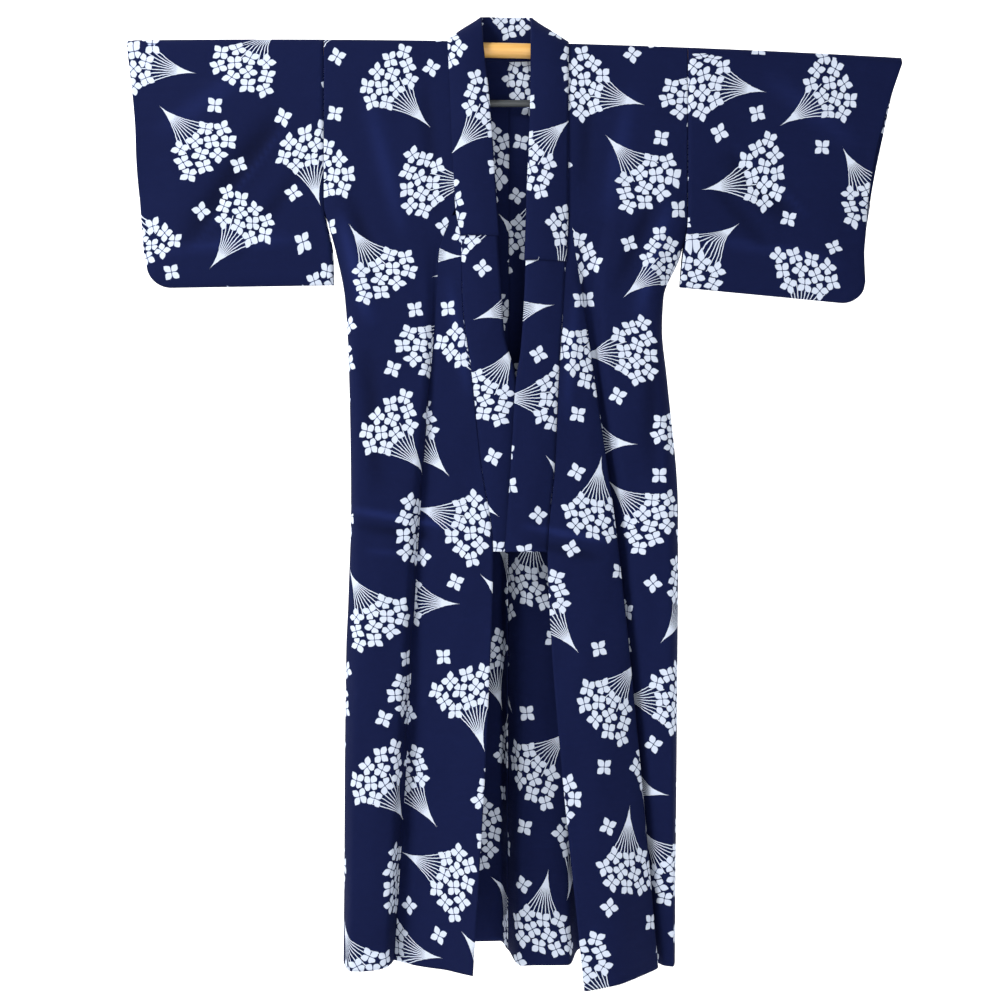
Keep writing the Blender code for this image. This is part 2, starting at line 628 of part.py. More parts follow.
def tube(name, points, radius, resolution, look):
    """A round bar along a line of points, with flat ends."""
    curve = bpy.data.curves.new(name, "CURVE")
    curve.dimensions = "3D"
    curve.bevel_depth = radius
    curve.bevel_resolution = resolution
    curve.use_fill_caps = True
    spline = curve.splines.new("POLY")
    spline.points.add(len(points) - 1)
    for spot, place in zip(spline.points, points):
        spot.co = (*place, 1)
    return finish(name, curve, look)


def hanger():
    """The rod inside the shoulders and sleeves, and the lower bar on its two posts."""
    xs = np.linspace(ROD_ENDS["right"], ROD_ENDS["left"], ROD_POINTS)
    tube("rod", [(x, 0, rod_height(x)) for x in xs], ROD_RADIUS, 6, ROD_WOOD)
    ends = [(-BAR_HALF_LENGTH, 0, -BAR_DROP), (BAR_HALF_LENGTH, 0, -BAR_DROP)]
    tube("lower_bar", ends, BAR_RADIUS, 4, BAR_PAINT)
    for side in SIDES:
        x = SIGN[side] * POST_OFFSET
        top = rod_height(x) - ROD_RADIUS - SEAM_GAP
        foot = -BAR_DROP + BAR_RADIUS + SEAM_GAP
        tube(f"bar_post_{side}", [(x, 0, top), (x, 0, foot)], POST_RADIUS, 3, BAR_PAINT)


def main():
    clear_scene()
    group = bpy.data.collections.new("yukata")
    bpy.context.scene.collection.children.link(group)
    for side in SIDES:
        stretches = body_stretches(side)
        cloth(f"body_shoulder_{side}", stretches["shoulder"])
        for place, ends in BODY_STRIPS.items():
            for name, grid in strips(stretches[place], ends[side]).items():
                panel(f"body_{place}_{side}_{name}", grid)
        for name, grid in strips(overlap_grid(side), OVERLAP_STRIPS[side]).items():
            panel(f"okumi_{side}_{name}", grid)
        sleeve(side)
    grid, heights = collar_middle()
    cloth("collar", grid, COLLAR_WALL, turned=COLLAR_COLUMNS)
    collar_cover(grid, heights)
    hanger()


main()
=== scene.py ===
"""The looks of a cotton yukata robe on a hanging rod: printed cloth shells on the solids' forms.

Left and right are the wearer's, so the left side lies at +X, on the right of the picture. The front
faces -Y. Lengths are in metres, angles in radians, unless a name or a comment says otherwise.
"""

import math

import bpy
import numpy as np
from bpy.props import FloatProperty, FloatVectorProperty, PointerProperty
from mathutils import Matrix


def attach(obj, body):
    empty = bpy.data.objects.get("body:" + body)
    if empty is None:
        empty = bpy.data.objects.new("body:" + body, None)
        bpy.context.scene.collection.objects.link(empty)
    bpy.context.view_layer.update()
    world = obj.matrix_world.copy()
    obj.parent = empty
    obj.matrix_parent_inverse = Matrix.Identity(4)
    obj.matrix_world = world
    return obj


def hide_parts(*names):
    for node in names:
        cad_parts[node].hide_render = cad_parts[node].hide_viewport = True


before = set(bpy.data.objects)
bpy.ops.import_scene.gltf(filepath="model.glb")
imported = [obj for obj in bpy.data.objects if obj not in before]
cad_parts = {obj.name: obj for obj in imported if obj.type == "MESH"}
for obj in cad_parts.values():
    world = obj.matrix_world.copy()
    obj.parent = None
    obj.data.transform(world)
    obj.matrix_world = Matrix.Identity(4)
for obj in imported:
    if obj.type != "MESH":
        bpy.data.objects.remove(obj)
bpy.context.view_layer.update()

bl_info = {
    "name": "Yukata on a Hanging Rod",
    "version": (1, 0, 0),
    "blender": (4, 5, 0),
    "location": "View3D > Sidebar > Yukata",
    "description": "Dresses the solids of a cotton yukata with printed cloth, creases and a varnished rod",
    "category": "Object",
}

SIDES = ("right", "left")
SIGN = {"right": -1, "left": 1}

# Camera
CAMERA_DISTANCE = 2.3
CAMERA_X = -0.0119
CAMERA_Z = -0.764
FRAME_WIDTH = 1.70
SENSOR_MM = 36

# Hanger
ROD_TILT = -0.022
ROD_BOW = -0.027
CLOTH_RADIUS = 0.0136

# Heights of the garment's own features
SHOULDER_ROW = -0.03
COLLARBONE_ROW = -0.10
ARMHOLE = -0.27
POINT_ROW = -0.284
SIDE_SEAM_TOP = -0.42
COLLAR_END = -0.85
HEM = -1.54
COVER_END = {"right": -0.32, "left": -0.37}
WAIST_CREASES = (-0.75, -0.89)
ROW_HEIGHTS = np.concatenate([
    np.linspace(SHOULDER_ROW, POINT_ROW, 36),
    np.linspace(POINT_ROW, SIDE_SEAM_TOP, 20)[1:],
    np.linspace(SIDE_SEAM_TOP, WAIST_CREASES[0], 48)[1:],
    np.linspace(WAIST_CREASES[0], COLLAR_END, 27)[1:],
    np.linspace(COLLAR_END, WAIST_CREASES[1], 11)[1:],
    np.linspace(WAIST_CREASES[1], HEM, 92)[1:],
])
SHOULDER_ANGLES = np.radians(np.linspace(-90, 90, 13))
COLUMNS_PER_SPAN = 11
BODY_SPANS = 6
OVERLAP_SPANS = 3


def metres(table):
    """The table with its millimetres turned to metres."""
    if isinstance(table, dict):
        return {name: metres(part) for name, part in table.items()}
    if isinstance(table, tuple):
        return tuple(metres(part) for part in table)
    return table / 1000


# Edges with a shape of their own, each row (z, x, y), in millimetres as all of these tables are
SIDE_EDGE = metres({
    "right": ((0, -309.7, -13.6), (-270, -309.7, -12), (-284, -306.5, -11), (-345, -290, -5),
              (-420, -275.5, -0.3), (-500, -270, 1), (-620, -266.2, 2), (-780, -264.2, 4),
              (-940, -269, 7), (-1020, -272.5, 8), (-1540, -277.5, 18)),
    "left": ((0, 305.7, -13.6), (-284, 304.8, -11.5), (-345, 295, -6), (-420, 266, -0.3),
             (-475, 263.5, 1), (-560, 271.5, 2), (-780, 289.5, 4), (-1540, 285, 18)),
})
# How far in from the side edge, and how far off it, the cloth turns: rows (z, in, off)
SIDE_ROUND = metres({
    "right": ((0, 35, 0), (-200, 31, 3), (-420, 2, 12.5), (-840, 1.2, 24), (-1540, 2, 36)),
    "left": ((0, 34, 0), (-200, 30, 3), (-420, 2, 12.5), (-840, 1.2, 23), (-1540, 2, 34)),
})
FRONT_EDGE = metres({
    "right": ((0, -99.8, -14.2), (-270, -87, -17), (-330, -77.4, -21.5), (-420, -75.7, -27),
              (-560, -58.9, -34), (-700, -44, -40), (-850, -23.5, -46), (-1180, -35, -66),
              (-1540, -56, -92)),
    "left": ((0, 103.7, -14.2), (-270, 103, -18), (-420, 95.2, -33), (-585, 84.8, -43),
             (-700, 79.5, -50), (-850, 67, -58), (-990, 72.5, -70), (-1180, 87.5, -88),
             (-1540, 124, -122)),
})
COLLAR_EDGE = metres({
    "right": ((0, -42.5, -17.5), (-90, -32.1, -19), (-270, -19.5, -22), (-410, -10.2, -30),
              (-490, -4, -34), (-550, 13, -37), (-665, 26.6, -40), (-850, 48, -43)),
    "left": ((0, 42.3, -17.5), (-90, 41.5, -20), (-246, 35.4, -25), (-420, 28.8, -38),
             (-520, 21.9, -45), (-560, 15.1, -47.5), (-710, 5.8, -56), (-850, -4, -62)),
})
OVERLAP_SEAM = metres({
    "right": ((-284, -92.5, -18), (-345, -114.5, -19.5), (-420, -119, -20.5), (-840, -150, -24),
              (-1180, -168, -21), (-1540, -190, -18)),
    "left": ((-284, 107, -19), (-345, 115, -22.2), (-420, 126.5, -25), (-530, 142, -30),
             (-840, 185, -42), (-1180, 219.5, -46), (-1540, 251, -52)),
})
CENTRE_BACK = metres(((-30, 4, 14.5), (-420, 3, 20), (-840, 2, 34), (-1540, 2, 35)))

# Fold lines from the side seam inwards: (x, y) at the chest, waist and hem, and the hem's own drop
FOLD_HEIGHTS = (SIDE_SEAM_TOP, -0.84, HEM)
FRONT_FOLDS = metres({
    "right": {
        "side_crest": ((-250, -26), (-246, -43), (-258, -61), -4),
        "front_crest": ((-200, -29), (-205, -49), (-230, -65), -3),
        "fold_lip": ((-140, -30), (-166, -47), (-204, -59), 0),
        "fold_flank": ((-126.5, -25), (-154.5, -35), (-194, -36), 0),
    },
    "left": {
        "side_crest": ((240, -27), (268, -44), (275, -49), 0),
        "fold_mouth": ((165, -29), (212, -39), (262, -45), 0),
        "fold_back": ((144, -16.5), (179, -12), (235, -10), 0),
        "fold_end": ((130, -17.5), (161, -26), (206, -26), 0),
    },
})
OVERLAP_FOLDS = metres({
    "right": {
        "overlap_outer": ((-102, -23.5), (-119, -36), (-150, -46), 0),
        "overlap_inner": ((-88, -25.5), (-74, -43), (-105, -66), 0),
    },
    "left": {
        "overlap_outer": ((117, -30), (150, -55), (222, -86), -2),
        "overlap_inner": ((106, -32), (109, -58), (177, -114), -8),
    },
})
BACK_FOLDS = metres({
    "right": {
        "back_ridge": ((-225, 20), (-215, 38), (-222, 66), 0),
        "back_trough": ((-170, 18), (-164, 28), (-164, 44), 0),
        "back_swell": ((-110, 21), (-103, 38), (-100, 70), 0),
        "column_root": ((-50, 22), (-18, 50), (-13, 82), 0),
    },
    "left": {
        "back_ridge": ((205, 20), (225, 42), (215, 66), 0),
        "column_far": ((145, 21), (135, 36), (127, 50), -3),
        "column_crest": ((95, 18), (95, 8), (102, -10), -11),
        "column_near": ((48, 17), (35, 10), (25, -14), -11),
    },
})
# Strips of the solids that each panel stands for, named as they are there
BODY_STRIPS = {
    "right": ("front_right_side", "front_right_main", "front_right_flank",
              "back_right_side", "back_right_ridge", "back_right_centre", "shoulder_right"),
    "left": ("front_left_side", "front_left_main", "front_left_fold", "front_left_flank",
             "back_left_side", "back_left_ridge", "back_left_column_far_upper",
             "back_left_column_far_lower", "back_left_column_upper", "back_left_column_lower",
             "shoulder_left"),
}
OVERLAP_STRIPS = {"right": ("whole",), "left": ("flank", "face_upper", "face_lower")}
FRONT_CORNER_DROP = {"right": -0.001, "left": -0.016}
UPPER_FRONT_DEPTH = 0.0165
UPPER_BACK_DEPTH = 0.0160
UPPER_HEIGHT = -0.20
CORNER_POWER = 3

# Sleeves, each row (z, x)
SLEEVE_INNER = metres({
    "right": ((0, -310.1), (-270, -310.1), (-284, -308.5), (-345, -296.2), (-400, -294)),
    "left": ((0, 306.1), (-284, 305.8), (-345, 298.2), (-400, 293)),
})
SLEEVE_OUTER = metres({
    "right": ((0, -642.6), (-140, -630.7), (-195, -629), (-320, -618.8), (-410, -612)),
    "left": ((0, 668), (-100, 647.7), (-280, 613.7), (-340, 606.9), (-430, 610)),
})
SLEEVE_BOTTOM = {"right": (-0.3990, -0.4040), "left": (-0.4020, -0.4330)}
SLEEVE_CORNER_RADIUS = 0.042
SLEEVE_ROWS = np.concatenate([np.linspace(0, -0.345, 36), np.linspace(-0.345, -0.400, 14)[1:]])
SLEEVE_SHARES = np.concatenate([np.linspace(0, 0.86, 37), np.linspace(0.86, 1, 17)[1:]])
SLEEVE_STRETCH_FROM = -0.345
# The mouth is open down to its end, and the front's lip stands back from the back's by this much
MOUTH_END = -0.25
MOUTH_LIP = {"right": 0.002, "left": 0.011}
MOUTH_LIP_END = MOUTH_END - 0.06
# Half the sleeve's depth away from its sewn edges, each row (z, half depth)
SLEEVE_HALF_DEPTH = ((0, CLOTH_RADIUS), (ARMHOLE, 0.0120), (-0.45, 0.0120))
SEWN_HALF_GAP = 0.0022
SEWN_EASE = 0.07

# Free edge of the collar round the neck, each row (place from the right front to the left, x, y, z)
COLLAR_NECK = (
    (0, -0.0425, -0.0215, 0.0040),
    (2, -0.0440, -0.0150, 0.0300),
    (4, -0.0455, 0.0000, 0.0500),
    (6, -0.0445, 0.0135, 0.0590),
    (8, -0.0270, 0.0232, 0.0625),
    (10, -0.0010, 0.0260, 0.0625),
    (12, 0.0255, 0.0232, 0.0620),
    (14, 0.0420, 0.0130, 0.0575),
    (16, 0.0430, 0.0000, 0.0470),
    (18, 0.0425, -0.0150, 0.0265),
    (20, 0.0423, -0.0215, 0.0020),
)
NECK_RADIUS = 0.0142
NECK_DEPTH = 0.0150
NECK_SHARES = np.linspace(0, 1, 13)[1:-1]
NECK_SAG = 0.004
COLLAR_COLUMNS = 13
COLLAR_ROUND = 0.004
COLLAR_LIFT = 0.0025
COLLAR_SEAM_GAP = 0.0005
# Places run from 0 at the right shoulder's front, past its back, to the centre back, and on to the left
SHOULDER_BACK_PLACE = 6
CENTRE_BACK_PLACE = 10
COVER_TURN_DEGREES = (60, 30, 0, -30, -60)
COVER_RETURN_COLUMN = COLLAR_COLUMNS // 4

# Creases pressed or hung into the cloth: (x, z) of both ends, depth out of the cloth and half width
FRONT_CREASES = metres((
    (-265, -780, -155, -797, 4.2, 6.5), (-175, -797, -55, -812, 3.6, 6), (-262, -806, -120, -826, -3, 9),
    (-240, -848, -150, -856, 1.8, 6), (20, -806, 185, -834, 4, 6.5), (40, -834, 165, -862, -3, 9),
    (195, -790, 285, -775, 3, 6.5), (-285, -270, -225, -480, 4.2, 12), (-272, -240, -195, -430, -3.2, 11),
    (280, -250, 215, -470, 4.2, 12), (255, -235, 180, -420, -3.2, 11), (-240, -60, -170, -330, 2.6, 15),
    (-140, -40, -120, -290, -2.2, 12), (215, -60, 165, -300, 2.6, 15), (140, -40, 128, -260, -2.2, 12),
    (-235, -500, -215, -760, -3, 14), (245, -480, 240, -740, -2.8, 14), (-100, -380, -62, -600, 2.6, 10),
    (120, -400, 98, -640, 2.6, 10),
))
BACK_CREASES = metres((
    (-265, -800, -110, -812, 3.6, 7), (-120, -812, 60, -806, 3, 6.5), (50, -806, 275, -795, 3.6, 7),
    (-250, -832, 40, -842, -2.6, 9), (80, -838, 270, -826, -2.6, 9), (-285, -270, -200, -500, 4.2, 13),
    (280, -260, 195, -490, 4.2, 13), (-130, -60, -85, -420, 2.6, 16), (120, -50, 100, -380, 2.6, 16),
    (-60, -50, -30, -240, -2.4, 13), (-215, -480, -180, -740, -2.8, 15), (200, -500, 170, -760, -2.8, 15),
))
SLEEVE_CREASES = metres({
    "right": ((-370, -95, -555, -345, -5, 22), (-352, -100, -540, -352, 4, 7),
              (-325, -170, -470, -372, -2.6, 12), (-330, -318, -600, -345, 2.6, 10),
              (-420, -30, -600, -150, 2.2, 16)),
    "left": ((362, -170, 492, -295, -4, 20), (378, -160, 512, -288, 3.6, 7),
             (330, -205, 460, -360, -2.4, 12), (330, -318, 580, -368, 2.6, 10),
             (430, -40, 600, -170, 2.2, 16)),
})
# A crease this deep gets the full painted highlight on its crest, and a trough this deep the full painted
# shade
FULL_PAINTED_CREASE = 0.0035
# Slow waves of hanging cloth: length across in metres, lean with height, phase and share
HANG_WAVES = (
    (0.113, 0.10, 0.6, 1.0), (0.071, -0.22, 2.1, 0.7), (0.043, 0.35, 4.0, 0.45), (0.187, -0.55, 1.2, 0.8),
)
HANG_FROM = -0.08
HANG_GROWS_OVER = 0.7
HANG_BACK_PHASE = 0.9
# How steady the waves are down the cloth, how much they swell, and how fast in radians a metre
HANG_SWELL = (0.6, 0.4, 3.1)

# A column that moves sideways by more than this share of its own length slews
SLEW_SHARE = 0.5

# The bolt's repeat across and along it, and the charted print, in millimetres
BOLT_REPEAT = (372.0, 585.0)
# Each bouquet: (x, y) of its tied end, the way it points in degrees, its bend, -1 if mirrored
BOUQUETS = (
    (151, 219, 40, 6, 1), (262, 200, -57, -6, -1), (31, 360, 135, 5, -1), (99, 58, -131, -7, 1),
    (31, 108, 12, 6, 1), (174, 512, -112, -5, -1), (202, 456, 76, 7, 1), (121, 270, 180, -6, -1),
)
# The florets of one bouquet, seen from its tied end: (ahead, aside, turn in degrees)
BOUQUET_HEADS = (
    (84, -24, 12), (88, 3, 50), (81, 30, 30), (103, -43, 70), (107, -14, 80), (110, 14, 22),
    (101, 44, 62), (126, -32, 8), (131, -3, 44), (130, 27, 75), (122, 54, 15),
)
# Loose florets: (x, y) and turn in degrees
FLORETS = (
    (181, 69, 34), (111, 234, 67), (262, 27, 75), (247, 484, 13), (95, 359, 39), (34, 461, 11),
    (241, 388, 34), (339, 537, 27), (53, 194, 82), (228, 195, 50), (4, 52, 54),
)
FLORET_RADIUS_MM = 17.5
PETAL_MIDDLE_MM = 8.6
PETAL_HALF_LENGTH_MM = 7.8
PETAL_HALF_WIDTH_MM = 5.8
PETAL_TAPER = 1.8
PETAL_APART_MM = 0.2
# Turns the difference of two sides into the distance from their diagonal
DIAGONAL = 0.7
RIM_MM = 0.5
FLORETS_APART_MM = 1.5
BOUQUET_REACH_MM = 152.0
# A bouquet owns a wedge of the cloth: half its width is slope times ahead, plus room
WEDGE_SLOPE, WEDGE_ROOM_MM = 0.55, 14.0
BEND_AT_MM = 100.0
STEMS = 9
STEM_HALF_WIDTH_MM = 0.75
# The shortest stem, and how much longer chance may make one
STEM_ROOM_MM = (80.0, 20.0)
# The stems fan out to this half angle by this reach, faster at first
FAN_RADIANS, FAN_REACH_MM, FAN_POWER = 0.41, 92.0, 0.75
# The dye's soft wander: noise scale for each millimetre, and how far it shifts the print
WANDER_SCALE, WANDER_MM = 0.16, 1.3

# Where each panel starts on the bolt, across and along it
BOLT_STARTS = {
    "body": {"right": (0.33, 0.12), "left": (0.06, 0.41)},
    "okumi": {"right": (0.10, 0.20), "left": (0.24, 0.05)},
    "sleeve": {"right": (0.02, 0.33), "left": (0.20, 0.52)},
    "collar": (0.05, 0.30),
    "collar_cover": (0.19, 0.08),
}

# Looks of the cloth: how much paler the ground is painted on crease crests as painted highlight, how much
# darker in crease troughs as painted shade, and how much of each is mixed in; and heights of its bumps in
# metres
CREST_PAINTED_HIGHLIGHT, TROUGH_PAINTED_SHADE, PAINTED_CREASE_MIX = 1.8, 0.45, 0.8
UNEVEN_DYE = 0.3
RUMPLE_HEIGHT, WRINKLE_HEIGHT, WEAVE_HEIGHT = 0.0014, 0.0022, 0.00006
WRINKLE_SCALES = (5.0, 42.0, 0.0)

# Stage: the floor's level and the sweep up to the backdrop behind, which every view stands in front of
FLOOR_LEVEL = -1.78
FLOOR_FRONT = -6.0
SWEEP_START = 2.1
SWEEP_RADIUS = 1.2
SWEEP_DEGREES = np.linspace(8, 90, 12)
BACKDROP_HEIGHT = 5.0
BACKDROP_HALF_WIDTH = 7.0
WORLD_STRENGTH = 0.36
# Lamps: name, place, target, size and power in watts
LAMPS = (
    ("key", (-2.2, -1.7, 1.3), (0.0, 0.0, -0.65), 1.0, 100),
    ("fill", (0.5, -2.7, -0.9), (0.0, 0.0, -0.9), 1.4, 19),
    ("backdrop left", (-2.6, 1.3, 1.6), (-0.3, 3.3, -0.6), 1.8, 115),
    ("backdrop right", (2.6, 1.3, 1.6), (0.3, 3.3, -0.6), 1.8, 115),
)


def linear(code):
    """Linear red, green and blue of an sRGB hex colour."""
    parts = [int(code[i : i + 2], 16) / 255 for i in (1, 3, 5)]
    return tuple(c / 12.92 if c <= 0.04045 else ((c + 0.055) / 1.055) ** 2.4 for c in parts)


class YukataSizes(bpy.types.PropertyGroup):
    """Sizes that a user would change."""

    cloth: FloatProperty(
        name="Cloth", description="Thickness of the cotton cloth", default=0.0006, unit="LENGTH",
    )
    collar: FloatProperty(
        name="Collar", description="Thickness of the folded collar band", default=0.0022, unit="LENGTH",
    )
    hang: FloatProperty(
        name="Hang", description="Depth of the slow waves in the cloth", default=0.0024, unit="LENGTH",
    )
    thread: FloatProperty(
        name="Thread", description="Drawn spacing of the weave in millimetres", default=0.9,
    )


class YukataColours(bpy.types.PropertyGroup):
    """Colours that a user would change."""

    indigo: FloatVectorProperty(
        name="Indigo", description="Dyed ground", default=linear("#11193E"), subtype="COLOR",
    )
    petal: FloatVectorProperty(
        name="Petal", description="Undyed florets", default=linear("#CDD6E6"), subtype="COLOR",
    )
    outline: FloatVectorProperty(
        name="Outline", description="Soft edge of the dye", default=linear("#7C89AD"), subtype="COLOR",
    )


def rod_height(x):
    """The height of the rod's axis, which leans and bows a little under the robe."""
    return ROD_TILT * x + ROD_BOW * x * x


def smooth(knots, values, at):
    """A curve through the values, flat at each crest and trough, so that it never swings past them."""
    knots = np.asarray(knots, float)
    values = np.asarray(values, float)
    at = np.asarray(at, float)
    if knots[0] > knots[-1]:
        knots, at = -knots, -at
    step = np.diff(knots)
    spread = step.reshape((-1,) + (1,) * (values.ndim - 1))
    slope = np.diff(values, axis=0) / spread
    tangent = np.zeros_like(values)
    tangent[0], tangent[-1] = slope[0], slope[-1]
    before, after = slope[:-1], slope[1:]
    same = before * after > 0
    total = np.where(same, before + after, 1)
    tangent[1:-1] = np.where(same, 2 * before * after / total, 0)
    at = np.clip(at, knots[0], knots[-1])
    place = np.clip(np.searchsorted(knots, at, side="right") - 1, 0, len(step) - 1)
    width = step[place]
    part = (at - knots[place]) / width
    shape = (-1,) + (1,) * (values.ndim - 1)
    part, width = part.reshape(shape), width.reshape(shape)
    return (
        values[place] * (1 + 2 * part) * (1 - part) ** 2
        + tangent[place] * width * part * (1 - part) ** 2
        + values[place + 1] * part**2 * (3 - 2 * part)
        - tangent[place + 1] * width * part**2 * (1 - part)
    )


def edge_line(rows, heights):
    """(x, y) at each height of a line given as rows of (z, x, y)."""
    rows = np.asarray(rows, float)
    return smooth(rows[:, 0], rows[:, 1:], heights)


def with_drop(line, drop, heights):
    """The line as (x, y, z), with the shoulder's lean near the top and the hem's own drop at the foot."""
    lean = np.clip(1 + heights / -SIDE_SEAM_TOP, 0, 1)
    foot = np.clip(heights / HEM, 0, 1) ** CORNER_POWER
    z = heights + rod_height(line[:, 0]) * lean + drop * foot
    return np.column_stack([line, z])


def fold_line(share, outer, inner, depth, row, heights, spread_to=UPPER_HEIGHT):
    """A fold line that starts spread evenly over the shoulder and gathers to its own place below."""
    *points, drop = row
    upper = []
    for height in (0, spread_to):
        side_x = edge_line(outer, [height])[0, 0]
        inner_x = edge_line(inner, [height])[0, 0]
        y = math.copysign(CLOTH_RADIUS, depth) if height == 0 else depth
        upper.append((height, side_x + (inner_x - side_x) * share, y))
    lower = [(height, *point) for height, point in zip(FOLD_HEIGHTS, points)]
    return with_drop(edge_line(upper + lower, heights), drop, heights)


def side_lines(side, edge, facing, heights):
    """The side edge and the turn of the cloth beside it, on the front (facing -1) or the back (1)."""
    line = edge_line(edge, heights)
    turn = edge_line(SIDE_ROUND[side], heights)
    beside = line + np.column_stack([-SIGN[side] * turn[:, 0], facing * turn[:, 1]])
    return [with_drop(line, 0, heights), with_drop(beside, 0, heights)]


def front_lines(side, heights):
    """Every line of one front, from the side seam to the free front edge: (line, row, xyz)."""
    folds = list(FRONT_FOLDS[side].values())
    edge = FRONT_EDGE[side]
    upper_seam = [(z, *edge_line(edge, [z])[0]) for z in (0, COLLARBONE_ROW, UPPER_HEIGHT, ARMHOLE)]
    seam = upper_seam + list(OVERLAP_SEAM[side])
    lines = side_lines(side, SIDE_EDGE[side], -1, heights)
    for number, row in enumerate(folds, start=2):
        share = number / (len(folds) + 2)
        lines.append(fold_line(share, SIDE_EDGE[side], seam, -UPPER_FRONT_DEPTH, row, heights))
    lines.append(with_drop(edge_line(seam, heights), 0, heights))
    point_depth = edge_line(edge, [POINT_ROW])[0, 1]
    for share, row in zip((1 / 3, 2 / 3), OVERLAP_FOLDS[side].values()):
        lines.append(fold_line(share, seam, edge, point_depth, row, heights, POINT_ROW))
    lines.append(with_drop(edge_line(edge, heights), FRONT_CORNER_DROP[side], heights))
    return np.array(lines)


def back_side_edge(side):
    """The back's side edge: level with the front's below the side seam's top, and behind it above."""
    rows = []
    for z, x, y in SIDE_EDGE[side]:
        rows.append((z, x, -y if z > SIDE_SEAM_TOP else y))
    return rows


def back_lines(heights):
    """Every line of the back, from the right side seam across to the left one: (line, row, xyz)."""
    halves = {}
    for side in SIDES:
        outer = back_side_edge(side)
        lines = side_lines(side, outer, 1, heights)
        folds = list(BACK_FOLDS[side].values())
        for number, row in enumerate(folds, start=2):
            share = number / (len(folds) + 2)
            lines.append(fold_line(share, outer, CENTRE_BACK, UPPER_BACK_DEPTH, row, heights))
        halves[side] = lines
    centre = with_drop(edge_line(CENTRE_BACK, heights), 0, heights)
    return np.array(halves["right"] + [centre] + halves["left"][::-1])


def across(lines, first, last):
    """The cloth between two lines: (row, column, xyz), smooth over every line of the section."""
    columns = np.linspace(first, last, (last - first) * COLUMNS_PER_SPAN + 1)
    return smooth(np.arange(len(lines)), lines, columns).transpose(1, 0, 2)


def crease_move(points, creases):
    """How far the creases stand out of the cloth at each point, less than 0 in a trough."""
    x, z = points[..., 0], points[..., 2]
    move = np.zeros_like(x)
    for start_x, start_z, end_x, end_z, depth, half_width in creases:
        way_x, way_z = end_x - start_x, end_z - start_z
        long = math.hypot(way_x, way_z)
        off_x, off_z = x - start_x, z - start_z
        along = (off_x * way_x + off_z * way_z) / long**2
        aside = (way_x * off_z - way_z * off_x) / long
        fade = np.clip(1 - np.abs(2 * along - 1) ** 2, 0, 1)
        move += depth * fade * np.exp(-((aside / half_width) ** 2))
    return move


def creased(points, creases, facing):
    """The points moved out or in along a panel's facing by each crease."""
    moved = points.copy()
    moved[..., 1] += facing * crease_move(points, creases)
    return moved


def hung(points, facing, depth):
    """The points with the slow waves of hanging cloth, which grow from the shoulder down."""
    x, z = points[..., 0], points[..., 2]
    ramp = np.clip((HANG_FROM - z) / HANG_GROWS_OVER, 0, 1)
    steady, swell, pace = HANG_SWELL
    move = np.zeros_like(x)
    for wave, lean, phase, share in HANG_WAVES:
        turn = 2 * math.pi * (x + lean * z) / wave + phase + (HANG_BACK_PHASE if facing > 0 else 0)
        move += share * np.sin(turn) * (steady + swell * np.sin(pace * z + 2 * phase))
    moved = points.copy()
    moved[..., 1] += facing * depth * ramp * move / 2
    return moved


def neck_seam(side):
    """Where the collar meets the body round the neck: over the shoulder, then across to the centre back."""
    x = FRONT_EDGE[side][0][1]
    points = []
    for angle in SHOULDER_ANGLES:
        points.append((x, NECK_RADIUS * math.sin(angle), rod_height(x) + NECK_RADIUS * math.cos(angle)))
    shoulder, centre = np.array(points[-1]), np.array((CENTRE_BACK[0][1], NECK_RADIUS, -NECK_DEPTH))
    for share in NECK_SHARES:
        points.append(shoulder + (centre - shoulder) * share)
        points[-1][2] -= NECK_SAG * math.sin(math.pi * share)
    points.append(centre)
    return np.array(points, float)


def body_grid(side, hang):
    """One body panel, from the front hem over the rod to the back hem."""
    heights = ROW_HEIGHTS
    seam = BODY_SPANS * COLUMNS_PER_SPAN
    front = across(front_lines(side, heights), 0, BODY_SPANS)
    back = back_lines(heights)
    if side == "left":
        back = back[::-1]
    back = across(back, 0, BODY_SPANS)
    shoulder_x = across(front_lines(side, np.zeros(1)), 0, BODY_SPANS)[0, :, 0]
    shoulder = []
    for angle in SHOULDER_ANGLES:
        y = np.full_like(shoulder_x, CLOTH_RADIUS * math.sin(angle))
        z = rod_height(shoulder_x) + CLOTH_RADIUS * math.cos(angle)
        shoulder.append(np.column_stack([shoulder_x, y, z]))
    neck = neck_seam(side)[len(SHOULDER_ANGLES) :]
    neck[:, 1] = CLOTH_RADIUS
    shares = np.linspace(0, 1, seam + 1)[:, None]
    behind = []
    for share, point in zip(NECK_SHARES, neck):
        outer = shoulder[-1][0] + (back[0, 0] - shoulder[-1][0]) * share
        behind.append(outer + (point - outer) * shares)
    back[0, :, 2] += (neck[-1, 2] - SHOULDER_ROW) * shares[:, 0]
    front = hung(creased(front, FRONT_CREASES, -1), -1, hang)
    back = hung(creased(back, BACK_CREASES, 1), 1, hang)
    return np.array(list(front[::-1]) + shoulder + behind + list(back))


def overlap_grid(side, hang):
    """The overlap panel, from its point beside the collar to the hem."""
    heights = ROW_HEIGHTS[ROW_HEIGHTS <= POINT_ROW + 1e-6]
    seam = BODY_SPANS * COLUMNS_PER_SPAN
    grid = across(front_lines(side, heights), 0, BODY_SPANS + OVERLAP_SPANS)[:, seam:]
    return hung(creased(grid, FRONT_CREASES, -1), -1, hang)


